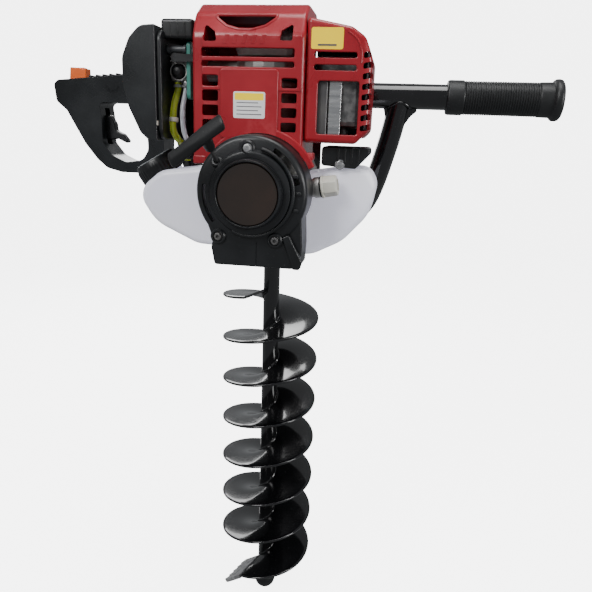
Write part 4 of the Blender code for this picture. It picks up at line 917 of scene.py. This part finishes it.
def makeFuelCap():
    radius = 21.9
    top = 10.2
    profile = [(0, top - 0.8), (12, top - 0.7), (17.6, top - 0.5), (19.2, top - 0.9), (20.2, top - 2.2),
               (radius - 0.9, top - 5.5),
               (radius, top - 7.5), (radius, -7.6), (radius - 1.1, -9.6), (19.2, -9.6), (19.2, -6), (0, -6)]
    cap = lathe(profile, capCentre, capAxis, 144)
    # ribs round the skirt
    turn = Matrix.Translation(capCentre * mm) @ turnTo(capAxis)
    inverse = turn.inverted()
    for vertex in cap.data.vertices:
        local = inverse @ vertex.co
        radial = Vector((local.x, local.y, 0))
        if radial.length > 20.5 * mm and -9 * mm < local.z < 3 * mm:
            angle = atan2(local.y, local.x)
            radial *= 1 - 0.035 * (0.5 + 0.5 * cos(36 * angle)) ** 2
            vertex.co = turn @ Vector((radial.x, radial.y, local.z))
    place(cap, "fuel_cap_shell", "blackPlastic", "filler_cap", stands=["fuel_cap"])
    # the lighter grey disc on the cap's top is a painted highlight where the light falls on the top
    lid = lathe([(0, 0.55), (14, 0.5), (17.6, 0.3), (18.6, -0.4), (18.6, -1.2), (0, -1.2)],
                capCentre + capAxis * (top - 0.6),
                capAxis, 96)
    place(lid, "fuel_cap_top", "capTopHighlight", "filler_cap")


hoseSeats = [(-60, -134, 600), (-48, -138, 600)]


def makeHoses():
    floor = nodeBox("carburettor")[0].z - 0.6
    fuel = [(-64.5, -145, floor), (-64.5, -145, 663), (-66, -153, 645), (-65.5, -155, 625), (-60, -140, 611),
            (-60, -134, 604), (-60, -134, 598.3)]
    back = [(-57, -145, floor), (-57, -145, 663), (-58, -152, 643), (-55, -154, 622), (-48, -144, 611),
            (-48, -138, 604), (-48, -138, 598.3)]
    for name, route, radius, finish, node in (("fuel_line", fuel, 3.1, "yellowHose", "fuel_hose"),
                                              ("return_line", back, 2.35, "clearHose", "return_hose")):
        line = smoothRoute(route, 14)
        outer = tube(line, radius, 28)
        bore = tube(line, radius * 0.55, 20)
        bore.data.flip_normals()
        place(gather(name, [outer, bore]), name, finish, stands=[node])
        nozzle = lathe([(0, 5.4), (radius * 0.75, 5.4), (radius * 0.75, 3), (radius + 0.9, 2),
                        (radius + 0.9, 0), (0, 0)],
                       Vector(route[0]) - up * 4.5, up, 32)
        place(nozzle, name + "_nozzle", "greyNylon")
    clip = [hoop(4.4, 3.2, 2.0, -2.0, (-65.8, -154.2, 636), (0.0, 0.1, 1), 0.5, 40),
            block((-83, -174.8, 630), (-74, -168, 635), 1.2)]
    place(gather("hose_clip", clip), "hose_clip", "ivoryPlastic")


def makeOilFiller():
    low, high = nodeBox("oil_cap")
    axis = jointLine("oil_cap_turn")[1]
    centre = (low + high) / 2
    neck = lathe([(6.2, -4), (8.8, -4), (9.3, -5), (9.3, -9), (8.2, -10.5), (8.0, -25), (6.2, -25)], centre,
                 axis, 60,
                 closed=True)
    place(neck, "oil_neck", "castAluminium", stands=["oil_filler_neck"])
    ring = hoop(9.6, 6.5, -2.6, -4.0, centre, axis, 0.6, 60)
    place(ring, "oil_cap_seal", "blackRubber", "oil_plug")
    # six flats above a round flange
    flange = lathe([(0, -0.6), (9.4, -0.6), (10.2, -1.2), (10.2, -2.4), (0, -2.4)], centre, axis, 60)
    head = lathe([(0, 11.6), (8.4, 11.6), (9.4, 10.6), (9.9, -0.8), (0, -0.8)], centre, axis, 6)
    head = soften(head, 0.7, 3, 25)
    recess = lathe([(0, 14), (5.4, 14), (5.4, 10.2), (0, 10.2)], centre, axis, 40)
    carve(head, recess)
    fuse(flange, head)
    place(flange, "oil_filler_cap", "ivoryPlastic", "oil_plug", stands=["oil_cap"])


makeTankPieces()
makeFuelCap()
makeHoses()
makeOilFiller()
print("tank made")


# fuel and air side
def makeCarburettor():
    low, high = nodeBox("carburettor")
    y = cylinderY
    body = block((low.x, y - 15, low.z), (high.x, y + 15, high.z), 2.5)
    ribs = [block((low.x, y - 16.5, low.z + 16 + 4 * i), (high.x - 1, y - 14, low.z + 18 + 4 * i), 0.7)
            for i in range(2)]
    boss = hoop(8.2, 6.9, 2, -2, (low.x + 8.7, y - 16, low.z + 8), faceAxis, 0.5)
    tower = bar((low.x + 8.7, y, high.z - 4), (low.x + 8.7, y, high.z), 6.5, 0.5)
    carve(body, bar((low.x - 5, y, 680), (high.x + 5, y, 680), 7.2, steps=48))
    screws = [screw((low.x + x, y - 15, z), faceAxis, 2.0, 1.6, "cross") for x, z in ((3, 692), (14.5, 668))]
    place(gather("carburettor_body", [body, *ribs, boss, tower]), "carburettor_body", "castAluminium",
          stands=["carburettor"])
    place(gather("carburettor_screws", screws), "carburettor_screws", "brightSteel")


def makeInsulator():
    low, high = nodeBox("insulator_plate")
    outline = roundCorners([(low.y, low.z), (high.y, low.z + 2), (high.y, high.z - 8), (high.y - 10, high.z),
                            (low.y, high.z)], 4, 4)
    plate = slab(outline, low.x, high.x, "side", edge=0.8)
    carve(plate, bar((low.x - 5, cylinderY, 680), (high.x + 5, cylinderY, 680), 8, steps=48))
    place(plate, "green_gasket_plate", "greenPlastic", stands=["insulator_plate"])
    # intake pipe between the air cleaner and the cylinder
    cleaner = nodeBox("air_cleaner_base")[0].x + 4
    pipeY, pipeZ = cylinderY - 19.2, 696.5
    pipe = bar((cleaner, pipeY, pipeZ), (low.x, pipeY, pipeZ), 3.1, 0.6)
    collars = [hoop(3.9, 2, 3, 0, (x, pipeY, pipeZ), right, 0.5, 48) for x in (cleaner, low.x - 3)]
    place(gather("breather_pipe", [pipe, *collars]), "breather_pipe", "greyNylonDark")


def makeAirCleaner():
    low, high = nodeBox("air_cleaner_cover")
    joint, left, top, base = high.x, low.x, high.z, low.z
    outline = [(joint, base), (joint, top), (joint - 13.7, top - 1), (joint - 23.7, top - 11),
               (left, top - 27),
               (left, top - 49), (left + 4.5, base + 29), (left + 15, base + 7), (joint - 7.7, base)]
    shell = slab(roundCorners(outline, [1, 1, 12, 14, 16, 16, 18, 10, 3], 9), low.y, high.y, edge=9,
                 segments=10)
    place(shell, "filter_cover", "satinCover", "cleaner_lid", stands=["air_cleaner_cover"])
    baseLow, baseHigh = nodeBox("air_cleaner_base")
    foot, head = baseLow.z, baseLow.z + 93
    floor = slab(roundedBox(baseLow.y, baseHigh.y, foot, head, 10, 6), baseLow.x, baseLow.x + 4, "side",
                 edge=1.2)
    hood = block((baseLow.x + 0.8, baseLow.y + 9, baseHigh.z - 17),
                 (baseHigh.x, baseHigh.y - 11, baseHigh.z), 3.0, 4)
    carve(hood, block((baseLow.x + 4, baseLow.y + 12, baseHigh.z - 30),
                      (baseHigh.x + 4, baseHigh.y - 14, baseHigh.z - 4)))
    carve(floor, bar((baseLow.x - 5, cylinderY, 680), (baseLow.x + 9, cylinderY, 680), 7, steps=48))
    place(gather("filter_base", [floor, hood]), "filter_base", "blackPlastic", stands=["air_cleaner_base"])
    # pleats moulded in the hood's front
    for i in range(3):
        x = baseLow.x + 9 + 6.5 * i
        place(block((x, baseLow.y + 8.6, baseHigh.z - 15), (x + 1.6, baseLow.y + 9.6, baseHigh.z - 3), 0.4),
              "hood_rib_" + str(i + 1), "blackPlastic")


def makeThrottleCable():
    route = [(-122, -71.7, 668), (-122, -76.5, 668), (-104, -84.5, 677), (-86, -90.5, 689), (-72, -93, 698),
             (-63, -101, 701), (-61, -112, 698.6)]
    shroud = slab(roundedBox(-73, -48, 612, 688, 3), -97, -95, edge=0.6)
    place(shroud, "air_shroud", "blackPlastic")
    line = smoothRoute(route, 12)
    sleeve = tube(line, 2.15, 20)
    place(sleeve, "throttle_sleeve", "blackRubber", stands=["throttle_cable"])
    ends = [bar(line[0] - Vector((0, 1.0, 0)), line[0] - Vector((0, 6.5, 0)), 3.2, 0.5, 24)]
    place(gather("cable_ferrule", ends), "cable_ferrule", "brightSteel")


makeCarburettor()
makeInsulator()
makeAirCleaner()
makeThrottleCable()
print("air side made")


# handles
barLow, barHigh = nodeBox("handlebar_tube")
barY, barZ = (barLow.y + barHigh.y) / 2, (barLow.z + barHigh.z) / 2


def makeBar():
    pipe = lathe([(12.3, 0), (12.45, -0.5), (12.45, 0.5 - (barHigh.x - barLow.x)),
                  (12.3, barLow.x - barHigh.x),
                  (10.5, barLow.x - barHigh.x), (10.5, 0)], (barHigh.x, barY, barZ), right, 72, closed=True)
    place(pipe, "bar_tube", "glossBlackPaint", stands=["handlebar_tube"])
    # wings where each strut meets the bar
    rightRoute = [(139.5, 664), (129, 615), (112, 562), (88, 540), (61, 533)]
    leftRoute = [(-97, 664), (-88, 615), (-74, 566), (-60, 544), (-41, 537)]
    for node, route, outward in (("strut_right", rightRoute, 1), ("strut_left", leftRoute, -1)):
        line = smoothRoute([(x, barY, z) for x, z in route], 14)
        pipe = tube(line, 10.9, 48)
        carve(pipe, bar((barLow.x, barY, barZ), (barHigh.x, barY, barZ), 12.75, steps=96))
        top = Vector((route[0][0], barY, barZ - 12.9))
        web = [(top.x - 12, top.z + 1), (top.x + 12, top.z + 1), (top.x + 2, top.z - 24),
               (top.x - 8, top.z - 24)]
        if outward < 0:
            web = [(2 * top.x - x, z) for x, z in web][::-1]
        place(pipe, node + "_pipe", "glossBlackPaint", stands=[node])
        bead = []
        for k in range(49):
            angle = 2 * pi * k / 48
            bead.append((top.x + 12.2 * cos(angle), barY + 11.0 * sin(angle),
                         barZ - 12.4 * cos(asin(min(1, abs(sin(angle)) * 0.85)))))
        place(tube(bead[:-1], 1.3, 10, closed=True), node + "_weld", "glossBlackPaint")


def makeGusset():
    # pressed gusset between the bar and the right strut
    top = barZ - 11.6
    outline = roundCorners([(123, top), (160, top), (151, top - 8), (139, top - 26), (134, top - 38),
                            (128, top - 20)],
                           [0.5, 2, 6, 8, 2, 2], 5)
    place(slab(outline, barY - 4, barY + 4, edge=1.8, segments=4), "bar_gusset", "glossBlackPaint")


gripLook = {"ribs": 30, "ribbedFrom": 17.2, "plainEnd": 22.0, "crown": 16.35, "groove": 15.7}


def makeRightGrip():
    low, high = nodeBox("right_grip")
    length = high.x - low.x
    profile = [(12.9, 0), (15.2, 0), (16.4, -0.8), (16.9, -2.2), (16.9, -15.5), (16.3, -16.6)]
    start, end, count = gripLook["ribbedFrom"], length - gripLook["plainEnd"], gripLook["ribs"]
    crown, groove = gripLook["crown"], gripLook["groove"]
    pitch = (end - start) / count
    for i in range(count):
        at = start + pitch * i
        profile += [(groove, -at - pitch * 0.12), (crown, -at - pitch * 0.34), (crown, -at - pitch * 0.66),
                    (groove, -at - pitch * 0.88)]
    profile += [(16.3, -end - 0.6), (16.6, -end - 1.2), (16.8, -end - 8), (16.9, -length + 9.4),
                (18.8, -length + 8),
                (19.8, -length + 6.4), (19.95, -length + 3.4), (19.2, -length + 1.2), (17.6, -length),
                (0, -length),
                (0, -length + 2.0), (12.9, -length + 2.0)]
    # listed from the collar outwards, so the axis points back along the bar
    place(lathe(profile, (low.x, barY, barZ), (-1, 0, 0), 96, closed=True), "ribbed_grip", "blackRubber",
          stands=["right_grip"])


handleHigh = nodeBox("handle_front_half")[1]
pivot = jointLine("trigger_pull")[0]


# outlines count from the trigger's pivot
handleLook = {"outer": [(-45, 36), (-40, 40), (78, 50), (79, 6), (77, -34), (70, -50), (54, -55), (29, -55),
                        (12, -51), (1, -42), (-12, -26), (-23, -7), (-32, 9), (-43, 18)],
              "outerRounding": [5, 5, 6, 8, 12, 12, 10, 10, 10, 10, 10, 8, 8, 6],
              "gap": [(6, 18), (58, 18), (60, -30), (53, -41), (34, -44), (19, -37.5), (8, -24), (8, 3)],
              "gapRounding": [5, 6, 12, 10, 10, 10, 8, 6],
              "well": [(-9.5, -26), (21.5, -26), (21.5, 12.5), (-9.5, 12.5)],
              "screws": [(22, 36), (-22, 27)], "ribs": 11, "rim": 6}
triggerLook = {"outline": [(-6, 2), (4, 6), (12, 5), (17, -4), (17.5, -11), (26, -14.5), (31.5, -21.5),
                           (30.6, -24.4), (20, -19.6), (13, -21), (4, -20), (-5, -8)],
               "rounding": [2, 2, 3, 3, 4, 4, 1.4, 1.4, 5, 4, 3, 3], "edge": 1.5}


def fromPivot(points):
    return [(pivot.x + x, pivot.z + z) for x, z in points]


def makeHandle():
    outerLoop = roundCorners(fromPivot(handleLook["outer"]), handleLook["outerRounding"], 6)
    gapLoop = roundCorners(fromPivot(handleLook["gap"]), handleLook["gapRounding"], 6)
    for side, name, node in ((-1, "handle_front", "handle_front_half"),
                             (1, "handle_rear", "handle_rear_half")):
        low, high = nodeBox(node)
        outerY = low.y if side < 0 else high.y
        innerY = high.y if side < 0 else low.y
        shell = slab(outerLoop, min(outerY, innerY), max(outerY, innerY), holes=[gapLoop], edge=0)
        mesh = shell.data
        # round the outer rim of each half only
        edit = bmesh.new()
        edit.from_mesh(mesh)
        rim = [e for e in edit.edges if all(abs(v.co.y / mm - outerY) < 0.01 for v in e.verts)
               and len(e.link_faces) == 2 and e.calc_face_angle(0) > 0.6]
        bmesh.ops.bevel(edit, geom=rim, offset=handleLook["rim"] * mm, segments=7, affect="EDGES",
                        profile=0.5, clamp_overlap=True)
        edit.to_mesh(mesh)
        edit.free()
        tunnel = bar((barLow.x - 1, barY, barZ), (handleHigh.x + 5, barY, barZ), 12.8, steps=72)
        well = slab(fromPivot(handleLook["well"]), barY - 5.6, barY + 5.6)
        carve(shell, tunnel, well)
        pieces = [shell]
        for x, z in handleLook["screws"]:
            spot = (pivot.x + x, outerY, pivot.z + z)
            axis = (0, side, 0)
            pieces.append(lathe([(5.2, 0.0), (8.4, 0.0), (9.4, -0.9), (9.6, -4), (5.2, -4)], spot, axis, 56,
                                closed=True))
        # cross ribs along the top
        for k in range(handleLook["ribs"]):
            x = pivot.x - 6 + 7.6 * k
            z = pivot.z + 40.3 + 10 * (28 + 7.6 * k) / 118
            pieces.append(block((x, min(outerY, innerY) + (3.5 if side < 0 else 0), z - 2),
                                (x + 2.6, max(outerY, innerY)
                                - (0 if side < 0 else 3.5), z + 3.0), 0.7))
        place(gather(name, pieces), name, "satinBlack", stands=[node])
        screws = [screw((pivot.x + x, outerY - side * 3.2, pivot.z + z), (0, side, 0), 3.6, 2.2, "cross")
                  for x, z in handleLook["screws"]]
        place(gather(name + "_screws", screws), name + "_screws", "darkSteel")
    # collar under the grip where the bar leaves it
    place(hoop(15.2, 12.7, 6, -6, (handleHigh.x - 1, barY, barZ), right, 1.5, 72), "bar_collar",
          "blackRubber")


def makeTrigger():
    low, high = nodeBox("throttle_trigger")
    loop = roundCorners(fromPivot(triggerLook["outline"]), triggerLook["rounding"], 5)
    place(slab(loop, low.y + 0.1, high.y - 0.1, edge=triggerLook["edge"], segments=4), "trigger_lever",
          "blackPlastic", "trigger",
          stands=["throttle_trigger"])


def makeSwitch():
    low, high = nodeBox("stop_switch")
    body = slab(roundCorners([(low.x, low.z), (high.x, low.z), (high.x, high.z - 1.2), (low.x + 2, high.z)],
                             1.2, 3),
                low.y, high.y, edge=1.0)
    ridges = [block((low.x + 3.5 + 3 * i, low.y + 2, high.z - 2.2),
                    (low.x + 4.7 + 3 * i, high.y - 2, high.z - 0.1), 0.4)
              for i in range(5)]
    place(gather("orange_switch", [body, *ridges]), "orange_switch", "orangePlastic", "switch",
          stands=["stop_switch"])


makeBar()
makeGusset()
makeRightGrip()
makeHandle()
makeTrigger()
makeSwitch()
print("handles made")


# drill
flightLook = {"outer": 59.9, "inner": 10.1, "thick": 3.4, "pitch": 55.0, "turns": 7.0, "top": 441.0,
              "endAngle": 248.5, "stepsPerTurn": 64, "weld": 1.5}


def makeFlight():
    outer, inner, thick = flightLook["outer"], flightLook["inner"], flightLook["thick"]
    pitch, turns, topZ = flightLook["pitch"], flightLook["turns"], flightLook["top"]
    endAngle = radians(flightLook["endAngle"])
    steps = flightLook["stepsPerTurn"] * round(turns)
    across = [(inner, 0.5), (inner, -0.5), (22, -0.5), (36, -0.5), (48, -0.5), (56, -0.5), (59.0, -0.44),
              (59.7, -0.26),
              (59.9, 0.0), (59.7, 0.26), (59.0, 0.44), (56, 0.5), (48, 0.5), (36, 0.5), (22, 0.5)]
    points, faces = [], []
    for i in range(steps + 1):
        t = i / steps
        angle = endAngle + 2 * pi * turns * t
        z = topZ - pitch * turns * (1 - t)
        for radius, lift in across:
            wave = 0.35 * sin(angle * 3 + radius * 0.1) * (radius / outer)
            points.append((radius * cos(angle), radius * sin(angle), z + lift * thick + wave))
    ring = len(across)
    for i in range(steps):
        for k in range(ring):
            n = (k + 1) % ring
            faces.append((i * ring + k, i * ring + n, (i + 1) * ring + n, (i + 1) * ring + k))
    faces.append(tuple(range(ring))[::-1])
    faces.append(tuple(range(steps * ring, (steps + 1) * ring)))
    flight = orient(newShape(meshFrom(points, faces)))
    place(flight, "screw_flight", "glossBlackPaint", "drill", stands=["auger_flight"], weighted=False,
          sharp=50)
    for side in (1, -1):
        bead = []
        for i in range(steps * 2 + 1):
            t = i / (steps * 2)
            angle = endAngle + 2 * pi * turns * t
            z = topZ - pitch * turns * (1 - t) + side * (thick / 2 + 0.7)
            bead.append((10.4 * cos(angle), 10.4 * sin(angle), z + 0.25 * sin(i * 1.9)))
        place(tube(bead, flightLook["weld"], 8), "flight_weld_" + ("top" if side > 0 else "under"),
              "glossBlackPaint", "drill")


def makeDrillTube():
    low, high = nodeBox("auger_tube")
    length = high.z - low.z
    profile = [(7.3, 0), (9.4, 0), (9.95, -0.6), (9.95, 1 - length), (9.3, -length), (7.3, -length)]
    place(lathe(profile, (0, 0, high.z), up, 72, closed=True), "drill_tube", "glossBlackPaint", "drill",
          stands=["auger_tube"])


def makeTip():
    high = nodeBox("pilot_tip")[1]
    radius = high.x
    profile = [(0, high.z), (6.6, high.z), (6.6, radius * 1.86)]
    for k in range(19):
        angle = radians(62 - (62 + 90) * k / 18)
        profile.append((radius * cos(angle), radius + radius * sin(angle)))
    profile.append((0, 0))
    place(lathe(profile, (0, 0, 0), up, 72), "tip_ball", "blackRubber", "drill", stands=["pilot_tip"])


makeFlight()
makeDrillTube()
makeTip()
print("drill made")


# the CAD pieces that stay as they are
stays = {
    "castAluminium": ["cylinder", "crankcase", "gearbox_housing", "gearbox_cover", "clutch_housing",
                      "piston",
                      "connecting_rod", "rocker_cover", "clutch_shoe_upper", "clutch_shoe_lower",
                      "flywheel"],
    "groundSteel": ["cutting_blade"],
    "brightSteel": ["output_shaft", "coupling_bolt", "output_bearing", "worm_bearing", "worm_shaft",
                    "crankshaft",
                    "spark_plug", "recoil_spring", "throttle_arm"],
    "darkSteel": ["clutch_drum", "clutch_rotor", "muffler"],
    "bronze": ["worm_wheel"],
    "blackRubber": ["plug_cap", "output_seal", "primer_bulb"],
    "blackPlastic": ["choke_lever", "starter_reel"],
    "filterFoam": ["air_filter"],
    "glossBlackPaint": ["frame_plate"],
}
for finish, nodes in stays.items():
    for node in nodes:
        piece = bpy.data.objects[node]
        piece.data.materials.clear()
        piece.data.materials.append(finishes[finish])
print("materials set")


# floor, lights and camera
studioLook = {"sky": (0.94, 0.97, 1.0, 1), "skyStrength": 0.3, "floorGlow": 5.0, "aim": (0.02, -0.05, 0.45),
              "lights": {"key": ((-0.9, -1.7, 1.8), 0.8, 30), "side": ((1.5, -0.8, 0.9), 0.5, 13),
                         "top": ((0.2, -0.3, 2.1), 0.9, 16), "back": ((-0.7, 1.3, 1.2), 0.9, 14)}}
cameraLook = {"turn": 8.5, "drop": 15.65, "roll": 2.0, "lens": 36.5, "eye": (0.1365, -0.7066, 0.6326)}


def makeStage():
    world = bpy.data.worlds.new("studio")
    bpy.context.scene.world = world
    world.use_nodes = True
    world.node_tree.nodes["Background"].inputs["Color"].default_value = studioLook["sky"]
    world.node_tree.nodes["Background"].inputs["Strength"].default_value = studioLook["skyStrength"]
    # pale floor that curves up into a wall all round
    sweep = [(0.001, 0), (5000, 0), (5600, 120), (5900, 420), (6000, 900), (6000, 6000)]
    floor = lathe(roundCorners(sweep, 200, 6, closed=False)[::-1], (0, 0, -1.5), up, 96)
    floor.name = "pale_floor"
    floor.data.materials.append(makeFloorFinish())
    floor.data.shade_smooth()
    # it shows behind the object, and doesn't light it
    floor.visible_diffuse = False
    floor.visible_glossy = False
    floor.visible_transmission = True
    floor.visible_shadow = False
    for name, (at, size, power) in studioLook["lights"].items():
        lamp = bpy.data.lights.new(name, "AREA")
        lamp.size = size
        lamp.energy = power
        light = bpy.data.objects.new(name, lamp)
        bpy.context.scene.collection.objects.link(light)
        light.location = at
        aim = Vector(studioLook["aim"]) - Vector(at)
        light.rotation_euler = aim.to_track_quat("-Z", "Y").to_euler()


def makeFloorFinish():
    finish = bpy.data.materials.new("paleFloor")
    finish.use_nodes = True
    shader = finish.node_tree.nodes["Principled BSDF"]
    shader.inputs["Base Color"].default_value = (0.9, 0.9, 0.9, 1)
    shader.inputs["Roughness"].default_value = 0.9
    shader.inputs["Emission Color"].default_value = (1, 1, 1, 1)
    shader.inputs["Emission Strength"].default_value = studioLook["floorGlow"]
    return finish


def makeCamera():
    turn, drop, roll = [radians(cameraLook[name]) for name in ("turn", "drop", "roll")]
    camera = bpy.data.cameras.new("camera")
    camera.lens = cameraLook["lens"]
    camera.sensor_width = 36
    eye = bpy.data.objects.new("camera", camera)
    bpy.context.scene.collection.objects.link(eye)
    eye.location = cameraLook["eye"]
    aim = Vector((-sin(turn) * cos(drop), cos(turn) * cos(drop), -sin(drop)))
    eye.rotation_euler = (aim.to_track_quat("-Z", "Y").to_matrix() @ Matrix.Rotation(roll, 3,
                                                                                     "Z")).to_euler()
    bpy.context.scene.camera = eye


makeStage()
makeCamera()
print("stage and camera set")
